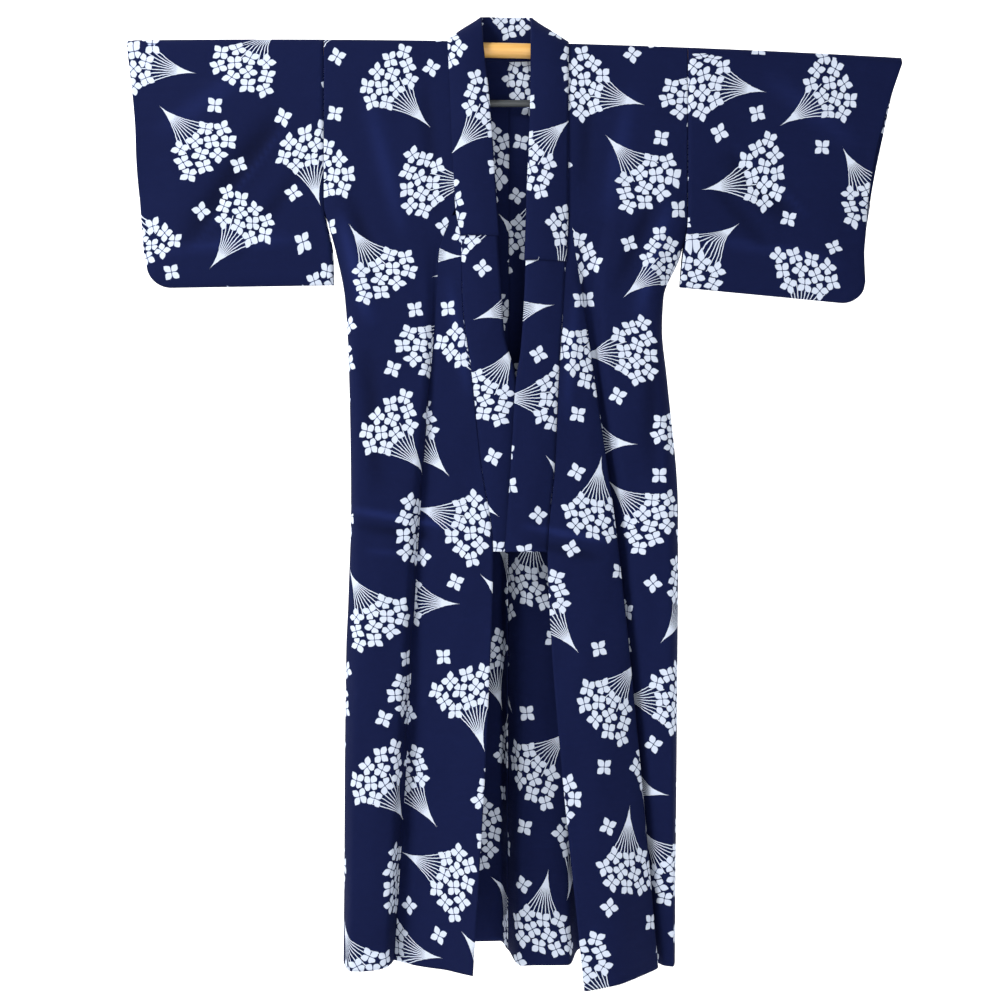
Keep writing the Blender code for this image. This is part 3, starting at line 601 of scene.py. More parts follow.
def collar_grid(hang):
    """The collar's middle surface from its right end round the neck to its left, and its seam heights."""
    heights = ROW_HEIGHTS[ROW_HEIGHTS > COLLAR_END - 1e-6]
    stretches = {}
    for side in SIDES:
        seam = with_drop(edge_line(FRONT_EDGE[side], heights), 0, heights)
        edge = with_drop(edge_line(COLLAR_EDGE[side], heights), 0, heights)
        stretches[side] = (seam, edge)
    neck = np.array(COLLAR_NECK)
    seam_round = np.concatenate([neck_seam("right"), neck_seam("left")[-2::-1]])
    over = np.linspace(0, SHOULDER_BACK_PLACE, len(SHOULDER_ANGLES))
    behind = SHOULDER_BACK_PLACE + (CENTRE_BACK_PLACE - SHOULDER_BACK_PLACE) * NECK_SHARES
    half = np.concatenate([over, behind, [CENTRE_BACK_PLACE]])
    places = np.concatenate([half, 2 * CENTRE_BACK_PLACE - half[-2::-1]])
    edge_round = smooth(neck[:, 0], neck[:, 1:], places)
    seams = np.concatenate([stretches["right"][0][::-1], seam_round, stretches["left"][0]])
    edges = np.concatenate([stretches["right"][1][::-1], edge_round, stretches["left"][1]])
    way = edges - seams
    way /= np.linalg.norm(way, axis=1, keepdims=True)
    outward = np.cross(way, np.gradient(seams + edges, axis=0))
    outward /= np.linalg.norm(outward, axis=1, keepdims=True)
    start = (seams + way * COLLAR_SEAM_GAP)[:, None]
    shares = np.linspace(0, 1, COLLAR_COLUMNS)[None, :, None]
    bulge = np.sin(shares * math.pi) * COLLAR_ROUND * outward[:, None]
    grid = start + (edges[:, None] - start) * shares + bulge
    front = (grid[..., 1:2] < 0) & (grid[..., 2:3] < SHOULDER_ROW)
    return np.where(front, hung(creased(grid, FRONT_CREASES, -1), -1, hang), grid), seams[:, 2]


def normals(grid):
    """The outward direction at each point of a grid."""
    found = np.cross(np.gradient(grid, axis=1), np.gradient(grid, axis=0))
    return found / np.linalg.norm(found, axis=2, keepdims=True)


def cover_grid(grid, heights):
    """The collar cover: over the collar's outside, round its free edge and part of the way back inside."""
    middle = len(heights) // 2
    ends = [COVER_END["right"]] * middle + [COVER_END["left"]] * (len(heights) - middle)
    keep = heights >= np.array(ends)
    lift = normals(grid)[keep] * COLLAR_LIFT
    grid = grid[keep]
    tip = grid[:, -1] - grid[:, -2]
    tip *= COLLAR_LIFT / np.linalg.norm(tip, axis=1, keepdims=True)
    edge, off = grid[:, -1], lift[:, -1]
    turn = []
    for angle in np.radians(COVER_TURN_DEGREES):
        turn.append(edge + tip * math.cos(angle) + off * math.sin(angle))
    inner = (grid - lift)[:, :COVER_RETURN_COLUMN:-1]
    return np.concatenate([grid + lift, np.stack(turn, axis=1), inner], axis=1)


def sleeve_point(side, height, share, layer):
    """A point of the sleeve's front (layer -1) or back (layer 1)."""
    inner = smooth(*zip(*SLEEVE_INNER[side]), [height])[0]
    outer = smooth(*zip(*SLEEVE_OUTER[side]), [height])[0]
    if layer < 0:
        to_lip_end = min(1, max(0, height / MOUTH_LIP_END))
        outer -= SIGN[side] * (MOUTH_LIP[side] * math.sin(math.pi * to_lip_end))
    x = inner + (outer - inner) * share
    from_outer = abs(outer - x)
    inner_bottom, outer_bottom = SLEEVE_BOTTOM[side]
    bottom = inner_bottom + (outer_bottom - inner_bottom) * share
    short = max(0.0, SLEEVE_CORNER_RADIUS - from_outer)
    bottom += SLEEVE_CORNER_RADIUS - math.sqrt(SLEEVE_CORNER_RADIUS**2 - short**2)
    z = height
    if height < SLEEVE_STRETCH_FROM:
        reach = (height - SLEEVE_STRETCH_FROM) / (SLEEVE_ROWS[-1] - SLEEVE_STRETCH_FROM)
        z = SLEEVE_STRETCH_FROM + reach * (bottom - SLEEVE_STRETCH_FROM)
    to_side = math.hypot(from_outer, max(0.0, z - MOUTH_END))
    to_sewn = min(z - bottom, to_side)
    ease = math.sqrt(min(1.0, max(0.0, to_sewn) / SEWN_EASE))
    full = smooth(*zip(*SLEEVE_HALF_DEPTH), [z])[0]
    half_gap = SEWN_HALF_GAP + (full - SEWN_HALF_GAP) * ease
    lean = min(1.0, max(0.0, 1 - z / SIDE_SEAM_TOP))
    return (x, layer * half_gap, z + rod_height(x) * lean)


def sleeve_grid(side):
    """A sleeve as rings of points, from the front's bottom over the rod to the back's bottom."""
    front = np.array([[sleeve_point(side, h, s, -1) for s in SLEEVE_SHARES] for h in SLEEVE_ROWS[::-1]])
    back = np.array([[sleeve_point(side, h, s, 1) for s in SLEEVE_SHARES] for h in SLEEVE_ROWS])
    front = creased(front, SLEEVE_CREASES[side], -1)
    back = creased(back, SLEEVE_CREASES[side], 1)
    front[..., 1] = np.minimum(front[..., 1], -SEWN_HALF_GAP)
    back[..., 1] = np.maximum(back[..., 1], SEWN_HALF_GAP)
    over = []
    for angle in SHOULDER_ANGLES[1:-1]:
        y = np.full(front.shape[1], CLOTH_RADIUS * math.sin(angle))
        z = rod_height(front[-1, :, 0]) + CLOTH_RADIUS * math.cos(angle)
        over.append(np.column_stack([front[-1, :, 0], y, z]))
    return np.concatenate([front, np.array(over), back])


def bolt_chart(grid, anchor, start, upright=False):
    """The place of each point on the bolt, laid flat to both sides of the anchor column, true to length.

    In an upright panel the cloth runs straight down where the anchor column slews sideways behind the neck.
    """
    moves = np.diff(grid[:, anchor], axis=0)
    slews = upright & (np.abs(moves[:, 0]) > SLEW_SHARE * np.linalg.norm(moves, axis=1))
    inward = np.sign(grid[:-1, -1, 0] - grid[:-1, 0, 0])
    shift = np.concatenate([[0], np.cumsum(np.where(slews, moves[:, 0] * inward, 0))])
    moves[slews, 0] = 0
    way = np.gradient(np.concatenate([np.zeros((1, 3)), np.cumsum(moves, axis=0)]), axis=0)
    way /= np.linalg.norm(way, axis=1, keepdims=True)
    reach = np.concatenate([[0], np.cumsum(np.linalg.norm(moves, axis=1))])
    steps = np.diff(grid, axis=1)
    along = (steps * way[:, None]).sum(axis=2)
    aside = np.sqrt(np.maximum((steps**2).sum(axis=2) - along**2, 0))
    chart = []
    for step in (aside, along):
        places = np.concatenate([np.zeros((len(grid), 1)), np.cumsum(step, axis=1)], axis=1)
        chart.append(places - places[:, anchor : anchor + 1])
    return np.stack([chart[0] + shift[:, None] + start[0], chart[1] + reach[:, None] + start[1]], axis=2)


def grid_object(name, grid, chart, wall, creases, closed_rows=(), wrap=False):
    """A cloth shell over a grid of points, with its bolt chart, its crease heights for the painted
    highlight on crests and painted shade in troughs, and an even wall.
    """
    rows, columns = grid.shape[:2]
    index = np.arange(rows * columns).reshape(rows, columns)
    quads = np.stack([index[:-1, :-1], index[:-1, 1:], index[1:, 1:], index[1:, :-1]], axis=2)
    faces = quads.reshape(-1, 4).tolist()
    if wrap:
        faces += np.stack([index[-1, :-1], index[-1, 1:], index[0, 1:], index[0, :-1]], axis=1).tolist()
    for i in closed_rows:
        faces.append([int(index[a, -1]) for a in (i, i + 1, rows - 2 - i, rows - 1 - i)])
    mesh = bpy.data.meshes.new(name)
    mesh.from_pydata(grid.reshape(-1, 3).tolist(), [], faces)
    layer = mesh.uv_layers.new(name="bolt")
    corners = np.empty(len(mesh.loops), int)
    mesh.loops.foreach_get("vertex_index", corners)
    layer.data.foreach_set("uv", chart.reshape(-1, 2)[corners].astype(np.float32).ravel())
    # How far each crease stands out or sinks in, kept as the point attribute crest: the material uses it to
    # paint crease crests paler as painted highlight and troughs darker as painted shade
    front, back = (crease_move(grid, rows_of_creases) / FULL_PAINTED_CREASE for rows_of_creases in creases)
    crest = np.where(grid[..., 1] < 0, front, back).clip(-1, 1).ravel()
    mesh.attributes.new("crest", "FLOAT", "POINT").data.foreach_set("value", crest.astype(np.float32))
    mesh.validate()
    piece = bpy.data.objects.new(name, mesh)
    bpy.context.scene.collection.objects.link(piece)
    bpy.ops.object.select_all(action="DESELECT")
    bpy.context.view_layer.objects.active = piece
    piece.select_set(True)
    bpy.ops.object.mode_set(mode="EDIT")
    bpy.ops.mesh.select_all(action="SELECT")
    bpy.ops.mesh.normals_make_consistent(inside=False)
    bpy.ops.object.mode_set(mode="OBJECT")
    bpy.ops.object.shade_smooth()
    solid = piece.modifiers.new("cloth wall", "SOLIDIFY")
    solid.thickness = wall
    solid.offset = 0
    return piece


def dress(piece, nodes, material):
    """Puts the shell in place of its solids, which it hides, gives it its material and parents it to the
    root body.
    """
    piece.data.materials.append(material)
    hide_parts(*nodes)
    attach(piece, "root")


def add(tree, kind, links=(), settings=(), **values):
    """A node of one kind with its settings, its plain input values and the links into it."""
    node = tree.nodes.new(kind)
    for name, value in dict(settings).items():
        setattr(node, name, value)
    for key, value in values.items():
        node.inputs[int(key[1:])].default_value = value
    for slot, source in dict(links).items():
        tree.links.new(source, node.inputs[slot])
    return node


def maths(tree, operation, first, second=None, third=None, clamp=False):
    """A sum on up to three numbers or sockets."""
    node = tree.nodes.new("ShaderNodeMath")
    node.operation = operation
    node.use_clamp = clamp
    for place, value in enumerate((first, second, third)):
        if value is None:
            continue
        if isinstance(value, (int, float)):
            node.inputs[place].default_value = value
        else:
            tree.links.new(value, node.inputs[place])
    return node.outputs[0]


def vectors(tree, operation, *values):
    """A sum on vectors."""
    node = tree.nodes.new("ShaderNodeVectorMath")
    node.operation = operation
    for place, value in enumerate(values):
        if isinstance(value, tuple):
            node.inputs[place].default_value = value
        else:
            tree.links.new(value, node.inputs[place])
    return node.outputs["Value" if operation == "LENGTH" else "Vector"]


def turned(tree, vector, degrees):
    """The vector turned about Z."""
    node = add(tree, "ShaderNodeVectorRotate", {"Vector": vector}, {"rotation_type": "Z_AXIS"})
    node.inputs["Angle"].default_value = math.radians(degrees)
    return node.outputs[0]


def chosen(tree, test, kept, new, kind="VECTOR"):
    """The new value where the test is 1, and the kept one elsewhere."""
    node = tree.nodes.new("ShaderNodeMix")
    node.data_type = kind
    places = {"VECTOR": (4, 5, 1), "FLOAT": (2, 3, 0), "RGBA": (6, 7, 2)}[kind]
    tree.links.new(test, node.inputs[0])
    for place, value in zip(places[:2], (kept, new)):
        if isinstance(value, (tuple, float, int)):
            node.inputs[place].default_value = value
        else:
            tree.links.new(value, node.inputs[place])
    return node.outputs[places[2]]


def split(tree, vector):
    """The first two parts of a vector."""
    node = add(tree, "ShaderNodeSeparateXYZ", {0: vector})
    return node.outputs[0], node.outputs[1]


def noise(tree, vector, scale, detail, dimensions="2D"):
    """A noise texture read at the vector."""
    settings = {"noise_dimensions": dimensions}
    return add(tree, "ShaderNodeTexNoise", {"Vector": vector}, settings, _2=scale, _3=detail)


def new_material(name, roughness):
    """A new material with its nodes and its main shader."""
    material = bpy.data.materials.new(name)
    material.use_nodes = True
    shader = material.node_tree.nodes["Principled BSDF"]
    shader.inputs["Roughness"].default_value = roughness
    return material, material.node_tree, shader


def bumped(tree, shader, height, strength, distance):
    """Gives the shader a bump."""
    bump = add(tree, "ShaderNodeBump", {"Height": height})
    bump.inputs["Strength"].default_value = strength
    bump.inputs["Distance"].default_value = distance
    tree.links.new(bump.outputs[0], shader.inputs["Normal"])


def seen_from(tree, place, x, y, degrees):
    """The place as seen from the nearest repeat of a point of the print that is turned by its degrees."""
    half = (BOLT_REPEAT[0] / 2, BOLT_REPEAT[1] / 2, 1.0)
    offset = vectors(tree, "SUBTRACT", place, (float(x), float(y), 0.0))
    return turned(tree, vectors(tree, "WRAP", offset, half, tuple(-h for h in half)), -degrees)


def bouquet_choice(tree, place):
    """The point as seen from the tied end of its bouquet, with that bouquet's number and bend."""
    local, number, bend = (0.0, 500.0, 0.0), 0.0, 0.0
    for order, (x, y, degrees, curve, mirror) in enumerate(BOUQUETS, start=1):
        seen = seen_from(tree, place, x, y, degrees)
        ahead, aside = split(tree, seen)
        wedge = maths(tree, "MULTIPLY_ADD", ahead, WEDGE_SLOPE, WEDGE_ROOM_MM)
        inside = maths(tree, "LESS_THAN", maths(tree, "ABSOLUTE", aside), wedge)
        near = maths(tree, "LESS_THAN", vectors(tree, "LENGTH", seen), BOUQUET_REACH_MM)
        test = maths(tree, "MULTIPLY", inside, near)
        local = chosen(tree, test, local, vectors(tree, "MULTIPLY", seen, (1.0, float(mirror), 1.0)))
        number = chosen(tree, test, number, float(order), "FLOAT")
        bend = chosen(tree, test, bend, float(curve), "FLOAT")
    return local, number, bend


def head_choice(tree, straight):
    """The point as seen from its nearest floret in the bouquet, and how much farther the next one is."""
    local, best, second = (500.0, 0.0, 0.0), 900.0, 900.0
    for x, y, degrees in BOUQUET_HEADS:
        offset = vectors(tree, "SUBTRACT", straight, (float(x), float(y), 0.0))
        reach = vectors(tree, "LENGTH", offset)
        test = maths(tree, "LESS_THAN", reach, best)
        local = chosen(tree, test, local, turned(tree, offset, -degrees))
        second = maths(tree, "MINIMUM", second, maths(tree, "MAXIMUM", reach, best))
        best = maths(tree, "MINIMUM", best, reach)
    return local, maths(tree, "SUBTRACT", second, best)


def loose_choice(tree, place):
    """The point as seen from the nearest loose floret, and whether it lies within reach of one."""
    local, found = (500.0, 0.0, 0.0), 0.0
    for x, y, degrees in FLORETS:
        seen = seen_from(tree, place, x, y, degrees)
        test = maths(tree, "LESS_THAN", vectors(tree, "LENGTH", seen), FLORET_RADIUS_MM)
        local = chosen(tree, test, local, seen)
        found = maths(tree, "MAXIMUM", test, found)
    return local, found


def floret(tree, local):
    """How many millimetres a point lies inside a four-petalled floret, less than 0 outside it."""
    ahead, aside = split(tree, local)
    turn = maths(tree, "ARCTAN2", aside, ahead)
    folded = maths(tree, "PINGPONG", maths(tree, "ADD", turn, math.pi), math.pi / 4)
    reach = vectors(tree, "LENGTH", local)
    along = maths(tree, "MULTIPLY", reach, maths(tree, "COSINE", folded))
    sideways = maths(tree, "MULTIPLY", reach, maths(tree, "SINE", folded))
    from_middle = maths(tree, "ABSOLUTE", maths(tree, "SUBTRACT", along, PETAL_MIDDLE_MM))
    taper = maths(tree, "POWER", maths(tree, "DIVIDE", from_middle, PETAL_HALF_LENGTH_MM), PETAL_TAPER)
    width = maths(tree, "MULTIPLY", maths(tree, "SUBTRACT", 1.0, taper), PETAL_HALF_WIDTH_MM)
    apart = maths(tree, "SUBTRACT", along, sideways)
    between = maths(tree, "MULTIPLY_ADD", apart, DIAGONAL, -PETAL_APART_MM)
    return maths(tree, "MINIMUM", maths(tree, "SUBTRACT", width, sideways), between)


def print_group():
    """The print as a group: bolt metres in, and out come how white and how outlined."""
    tree = bpy.data.node_groups.new("bouquet print", "ShaderNodeTree")
    tree.interface.new_socket("Bolt", in_out="INPUT", socket_type="NodeSocketVector")
    tree.interface.new_socket("White", in_out="OUTPUT", socket_type="NodeSocketFloat")
    tree.interface.new_socket("Outline", in_out="OUTPUT", socket_type="NodeSocketFloat")
    entry = tree.nodes.new("NodeGroupInput")
    leave = tree.nodes.new("NodeGroupOutput")
    millimetres = vectors(tree, "MULTIPLY", entry.outputs[0], (1000.0, 1000.0, 0.0))
    wander = noise(tree, millimetres, WANDER_SCALE, 1.0).outputs["Color"]
    shift = vectors(tree, "SUBTRACT", wander, (0.5, 0.5, 0.5))
    place = vectors(tree, "MULTIPLY_ADD", shift, (WANDER_MM, WANDER_MM, 0.0), millimetres)
    local, number, bend = bouquet_choice(tree, place)
    ahead, aside = split(tree, local)
    bow = maths(tree, "MULTIPLY", bend, maths(tree, "POWER", maths(tree, "DIVIDE", ahead, BEND_AT_MM), 2.0))
    aside = maths(tree, "SUBTRACT", aside, bow)
    straight = add(tree, "ShaderNodeCombineXYZ", {0: ahead, 1: aside}).outputs[0]
    reach = vectors(tree, "LENGTH", straight)
    turn = maths(tree, "ARCTAN2", aside, ahead)
    near = maths(tree, "POWER", maths(tree, "DIVIDE", reach, FAN_REACH_MM, clamp=True), FAN_POWER)
    fan = maths(tree, "MAXIMUM", maths(tree, "MULTIPLY", near, FAN_RADIANS), 0.001)
    half_count = (STEMS - 1) / 2
    rays = maths(tree, "MULTIPLY", maths(tree, "DIVIDE", turn, fan), half_count)
    ray = maths(tree, "ROUND", rays)
    off_ray = maths(tree, "ABSOLUTE", maths(tree, "SUBTRACT", rays, ray))
    ray_mm = maths(tree, "DIVIDE", reach, half_count)
    off_mm = maths(tree, "MULTIPLY", maths(tree, "MULTIPLY", off_ray, fan), ray_mm)
    on_stem = maths(tree, "LESS_THAN", off_mm, STEM_HALF_WIDTH_MM)
    in_fan = maths(tree, "LESS_THAN", maths(tree, "ABSOLUTE", ray), half_count + 0.5)
    seeded = add(tree, "ShaderNodeCombineXYZ", {0: ray, 1: number}).outputs[0]
    chance = add(tree, "ShaderNodeTexWhiteNoise", {"Vector": seeded}, {"noise_dimensions": "3D"})
    shortest, longer = STEM_ROOM_MM
    stem_end = maths(tree, "MULTIPLY_ADD", chance.outputs["Value"], longer, shortest)
    before_end = maths(tree, "LESS_THAN", reach, stem_end)
    in_bouquet = maths(tree, "GREATER_THAN", number, 0.5)
    stem = maths(tree, "MULTIPLY", maths(tree, "MULTIPLY", on_stem, in_fan), before_end)
    stem = maths(tree, "MULTIPLY", stem, in_bouquet)
    head, spare = head_choice(tree, straight)
    loose, is_loose = loose_choice(tree, place)
    depth = floret(tree, chosen(tree, is_loose, head, loose))
    shows = maths(tree, "MAXIMUM", in_bouquet, is_loose)
    apart = maths(tree, "MAXIMUM", maths(tree, "GREATER_THAN", spare, FLORETS_APART_MM), is_loose)
    petal = maths(tree, "MULTIPLY", maths(tree, "GREATER_THAN", depth, 0.0), shows)
    outline = maths(tree, "MULTIPLY", maths(tree, "LESS_THAN", depth, RIM_MM), petal)
    white = maths(tree, "MAXIMUM", maths(tree, "MULTIPLY", petal, apart), stem)
    tree.links.new(white, leave.inputs[0])
    tree.links.new(outline, leave.inputs[1])
    return tree


def printed_cotton(colours, sizes):
    """Plain-woven cotton, dyed through: a matt ground, white florets left undyed and a fine weave, with a
    painted highlight on crease crests and painted shade in crease troughs.
    """
    material, tree, shader = new_material("plain woven cotton, indigo dyed with white florets", 0.86)
    shader.inputs["Specular IOR Level"].default_value = 0.06
    bolt = add(tree, "ShaderNodeUVMap", settings={"uv_map": "bolt"}).outputs[0]
    group = tree.nodes.new("ShaderNodeGroup")
    group.node_tree = print_group()
    tree.links.new(bolt, group.inputs[0])
    uneven = maths(tree, "MULTIPLY", noise(tree, bolt, 9.0, 4.0).outputs[0], UNEVEN_DYE)
    ground = chosen(tree, uneven, (*colours.indigo, 1), (*linear("#0C1130"), 1), "RGBA")
    # Painted highlight and shade on the creases: the ground is mixed towards a paler indigo on crease
    # crests and a darker indigo in crease troughs
    crest = add(tree, "ShaderNodeAttribute", settings={"attribute_name": "crest"}).outputs["Fac"]
    for shade, share in ((CREST_PAINTED_HIGHLIGHT, PAINTED_CREASE_MIX), (TROUGH_PAINTED_SHADE, -PAINTED_CREASE_MIX)):
        painted_crease_tone = (*(channel * shade for channel in colours.indigo), 1)
        ground = chosen(tree, maths(tree, "MULTIPLY", crest, share, clamp=True), ground, painted_crease_tone, "RGBA")
    petals = chosen(tree, group.outputs[1], (*colours.petal, 1), (*colours.outline, 1), "RGBA")
    tree.links.new(chosen(tree, group.outputs[0], ground, petals, "RGBA"), shader.inputs["Base Color"])
    threads = vectors(tree, "MULTIPLY", bolt, (1000 / sizes.thread, 1000 / sizes.thread, 0.0))
    warp, weft = (
        maths(tree, "SINE", maths(tree, "MULTIPLY", part, 2 * math.pi)) for part in split(tree, threads)
    )
    rumple = maths(tree, "MULTIPLY", noise(tree, bolt, 30.0, 3.0).outputs[0], RUMPLE_HEIGHT)
    wrinkles = noise(tree, vectors(tree, "MULTIPLY", bolt, WRINKLE_SCALES), 1.0, 2.0).outputs[0]
    rumpled = maths(tree, "MULTIPLY_ADD", wrinkles, WRINKLE_HEIGHT, rumple)
    weave = maths(tree, "MULTIPLY", warp, weft)
    bumped(tree, shader, maths(tree, "MULTIPLY_ADD", weave, WEAVE_HEIGHT, rumpled), 0.8, 1.0)
    return material


def varnished_wood():
    """Satin varnished softwood: warm yellow with straight grain along the rod and a soft gloss."""
    material, tree, shader = new_material("varnished softwood rod", 0.38)
    shader.inputs["Coat Weight"].default_value = 0.3
    shader.inputs["Coat Roughness"].default_value = 0.2
    place = add(tree, "ShaderNodeTexCoord").outputs["Object"]
    stretched = vectors(tree, "MULTIPLY", place, (6.0, 150.0, 150.0))
    grain = noise(tree, stretched, 1.6, 5.0, "3D")
    grain.inputs["Roughness"].default_value = 0.6
    tones = chosen(tree, grain.outputs[0], (*linear("#F4C878"), 1), (*linear("#D8963C"), 1), "RGBA")
    tree.links.new(tones, shader.inputs["Base Color"])
    bumped(tree, shader, grain.outputs[0], 0.15, 0.0004)
    return material


def painted_steel():
    """Satin paint on a steel tube: near black grey with a fine pebble."""
    material, tree, shader = new_material("dark grey satin paint on steel", 0.42)
    place = add(tree, "ShaderNodeTexCoord").outputs["Object"]
    pebble = noise(tree, place, 900.0, 2.0, "3D").outputs[0]
    tones = chosen(tree, pebble, (*linear("#34383B"), 1), (*linear("#44494D"), 1), "RGBA")
    tree.links.new(tones, shader.inputs["Base Color"])
    bumped(tree, shader, pebble, 0.2, 0.0002)
    return material


def cotton():
    """The one printed cloth that every panel is cut from."""
    name = "plain woven cotton, indigo dyed with white florets"
    scene = bpy.context.scene
    return bpy.data.materials.get(name) or printed_cotton(scene.yukata_colours, scene.yukata_sizes)


class YUKATA_OT_body(bpy.types.Operator):
    """Lay the two body panels from back hem over the rod to front hem"""

    bl_idname = "yukata.body"
    bl_label = "Body Panels"

    def execute(self, context):
        sizes = context.scene.yukata_sizes
        for side in SIDES:
            grid = body_grid(side, sizes.hang)
            middle = BODY_SPANS * COLUMNS_PER_SPAN // 2
            chart = bolt_chart(grid, middle, BOLT_STARTS["body"][side], upright=True)
            creases = (FRONT_CREASES, BACK_CREASES)
            piece = grid_object(f"cloth_body_{side}", grid, chart, sizes.cloth, creases)
            nodes = [f"body_{strip}" for strip in BODY_STRIPS[side]]
            dress(piece, nodes, cotton())
        return {"FINISHED"}


class YUKATA_OT_overlaps(bpy.types.Operator):
    """Hang the two front overlap panels"""

    bl_idname = "yukata.overlaps"
    bl_label = "Overlap Panels"

    def execute(self, context):
        sizes = context.scene.yukata_sizes
        for side in SIDES:
            grid = overlap_grid(side, sizes.hang)
            chart = bolt_chart(grid, grid.shape[1] // 2, BOLT_STARTS["okumi"][side])
            piece = grid_object(f"cloth_okumi_{side}", grid, chart, sizes.cloth, (FRONT_CREASES, ()))
            nodes = [f"okumi_{side}_{strip}" for strip in OVERLAP_STRIPS[side]]
            dress(piece, nodes, cotton())
        return {"FINISHED"}


class YUKATA_OT_collar(bpy.types.Operator):
    """Set the collar band and its cover round the neck"""

    bl_idname = "yukata.collar"
    bl_label = "Collar"

    def execute(self, context):
        sizes = context.scene.yukata_sizes
        grid, heights = collar_grid(sizes.hang)
        chart = bolt_chart(grid, COLLAR_COLUMNS // 2, BOLT_STARTS["collar"])
        band = grid_object("cloth_collar", grid, chart, sizes.collar, (FRONT_CREASES, ()))
        dress(band, ["collar"], cotton())
        shell = cover_grid(grid, heights)
        chart = bolt_chart(shell, COLLAR_COLUMNS // 2, BOLT_STARTS["collar_cover"])
        cover = grid_object("cloth_collar_cover", shell, chart, sizes.cloth, (FRONT_CREASES, ()))
        dress(cover, ["collar_cover"], cotton())
        return {"FINISHED"}


class YUKATA_OT_sleeves(bpy.types.Operator):
    """Hang the two sleeves, each folded over the rod"""

    bl_idname = "yukata.sleeves"
    bl_label = "Sleeves"

    def execute(self, context):
        sizes = context.scene.yukata_sizes
        for side in SIDES:
            grid = sleeve_grid(side)
            chart = bolt_chart(grid, len(SLEEVE_SHARES) // 2, BOLT_STARTS["sleeve"][side])
            closed = [i for i in range(len(SLEEVE_ROWS) - 1) if grid[i + 1, -1, 2] < MOUTH_END]
            name, creases = f"cloth_sleeve_{side}", (SLEEVE_CREASES[side],) * 2
            piece = grid_object(name, grid, chart, sizes.cloth, creases, closed, wrap=True)
            dress(piece, [f"sleeve_{side}"], cotton())
        return {"FINISHED"}


class YUKATA_OT_hanger(bpy.types.Operator):
    """Finish the wooden rod and the dark bar with its posts"""

    bl_idname = "yukata.hanger"
    bl_label = "Hanging Rod"

    def execute(self, context):
        wood, paint = varnished_wood(), painted_steel()
        for node in ("rod", "lower_bar", "bar_post_right", "bar_post_left"):
            piece = bpy.data.objects[node]
            piece.data.materials.clear()
            piece.data.materials.append(wood if node == "rod" else paint)
        return {"FINISHED"}


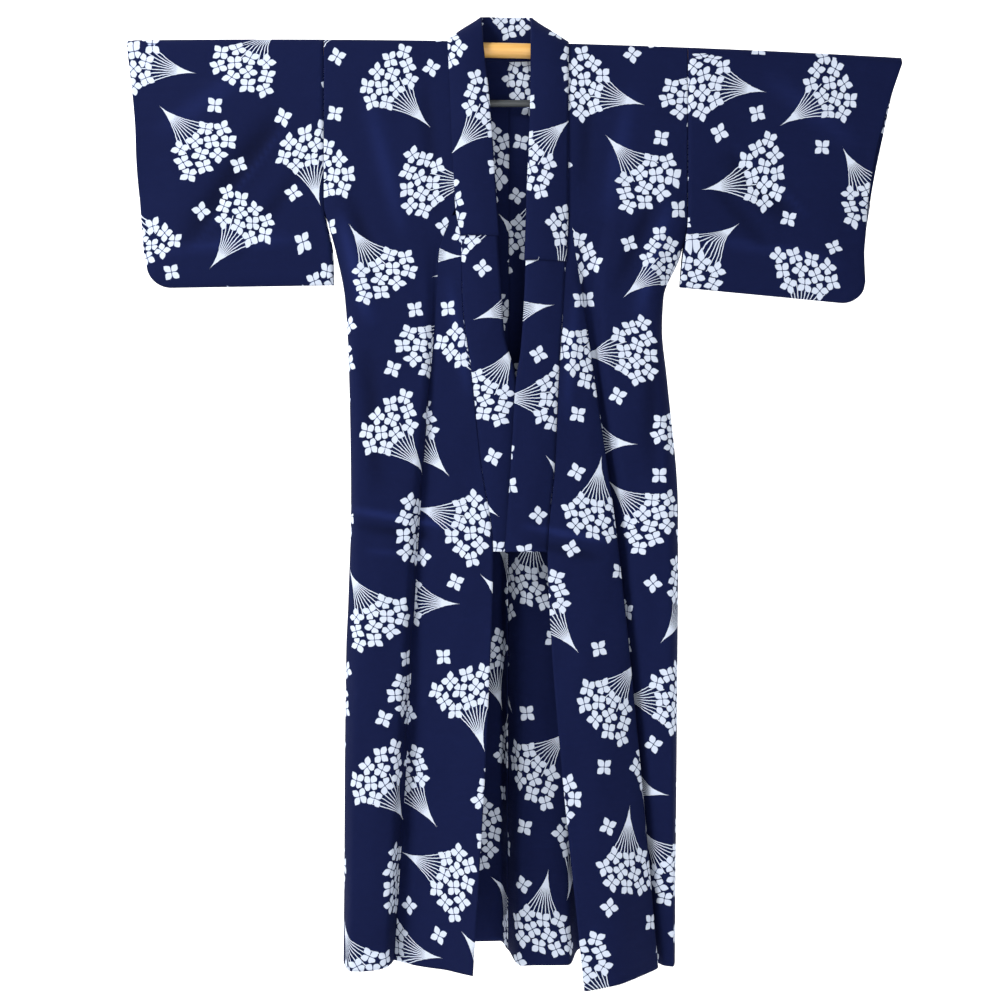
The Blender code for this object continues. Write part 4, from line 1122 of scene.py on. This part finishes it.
class YUKATA_OT_stage(bpy.types.Operator):
    """Set the pale floor, the soft lights and the camera"""

    bl_idname = "yukata.stage"
    bl_label = "Stage"

    def execute(self, context):
        scene = context.scene
        bpy.ops.object.select_all(action="DESELECT")
        profile = [(FLOOR_FRONT, 0.0), (SWEEP_START, 0.0)]
        for turn in np.radians(SWEEP_DEGREES):
            rise = SWEEP_RADIUS * (1 - math.cos(turn))
            profile.append((SWEEP_START + SWEEP_RADIUS * math.sin(turn), rise))
        profile.append((SWEEP_START + SWEEP_RADIUS, BACKDROP_HEIGHT))
        ends = (-BACKDROP_HALF_WIDTH, BACKDROP_HALF_WIDTH)
        points = [(x, y, z + FLOOR_LEVEL) for y, z in profile for x in ends]
        faces = [(i, i + 1, i + 3, i + 2) for i in range(0, len(points) - 2, 2)]
        sheet = bpy.data.meshes.new("pale_backdrop")
        sheet.from_pydata(points, [], faces)
        floor = bpy.data.objects.new("pale_backdrop", sheet)
        scene.collection.objects.link(floor)
        for face in sheet.polygons:
            face.use_smooth = True
        paper, _, shader = new_material("matt white paper", 0.9)
        shader.inputs["Base Color"].default_value = (*linear("#FBFBFB"), 1)
        floor.data.materials.append(paper)
        world = bpy.data.worlds.new("studio")
        world.use_nodes = True
        background = world.node_tree.nodes["Background"]
        background.inputs["Color"].default_value = (*linear("#FFFFFF"), 1)
        background.inputs["Strength"].default_value = WORLD_STRENGTH
        scene.world = world
        for name, place, target, size, power in LAMPS:
            lamp = bpy.data.lights.new(name, "AREA")
            lamp.shape, lamp.size, lamp.energy = "SQUARE", size, power
            holder = bpy.data.objects.new(name, lamp)
            scene.collection.objects.link(holder)
            holder.location = place
            way = np.array(target) - np.array(place)
            tilt = math.atan2(math.hypot(way[0], way[1]), -way[2])
            holder.rotation_euler = (tilt, 0, math.atan2(-way[0], way[1]))
        lens = bpy.data.cameras.new("camera")
        lens.sensor_width = SENSOR_MM
        lens.lens = SENSOR_MM * CAMERA_DISTANCE / FRAME_WIDTH
        camera = bpy.data.objects.new("camera", lens)
        scene.collection.objects.link(camera)
        camera.location = (CAMERA_X, -CAMERA_DISTANCE, CAMERA_Z)
        camera.rotation_euler = (math.radians(90), 0, 0)
        scene.camera = camera
        scene.view_settings.view_transform = "Standard"
        return {"FINISHED"}


class YUKATA_PT_sidebar(bpy.types.Panel):
    """Everything that dresses the yukata"""

    bl_idname = "YUKATA_PT_sidebar"
    bl_label = "Yukata"
    bl_space_type = "VIEW_3D"
    bl_region_type = "UI"
    bl_category = "Yukata"

    def draw(self, context):
        for group in (context.scene.yukata_sizes, context.scene.yukata_colours):
            for name in group.bl_rna.properties.keys():
                if name not in ("rna_type", "name"):
                    self.layout.prop(group, name)
        for operator in STEPS:
            self.layout.operator(operator.bl_idname)


STEPS = (
    YUKATA_OT_body, YUKATA_OT_overlaps, YUKATA_OT_collar, YUKATA_OT_sleeves, YUKATA_OT_hanger,
    YUKATA_OT_stage,
)
CLASSES = (YukataSizes, YukataColours, *STEPS, YUKATA_PT_sidebar)


def register():
    for cls in CLASSES:
        bpy.utils.register_class(cls)
    bpy.types.Scene.yukata_sizes = PointerProperty(type=YukataSizes)
    bpy.types.Scene.yukata_colours = PointerProperty(type=YukataColours)


def unregister():
    del bpy.types.Scene.yukata_colours
    del bpy.types.Scene.yukata_sizes
    for cls in reversed(CLASSES):
        bpy.utils.unregister_class(cls)


def main():
    register()
    bpy.ops.yukata.body()
    bpy.ops.yukata.overlaps()
    bpy.ops.yukata.collar()
    bpy.ops.yukata.sleeves()
    bpy.ops.yukata.hanger()
    bpy.ops.yukata.stage()


if __name__ == "__main__":
    main()
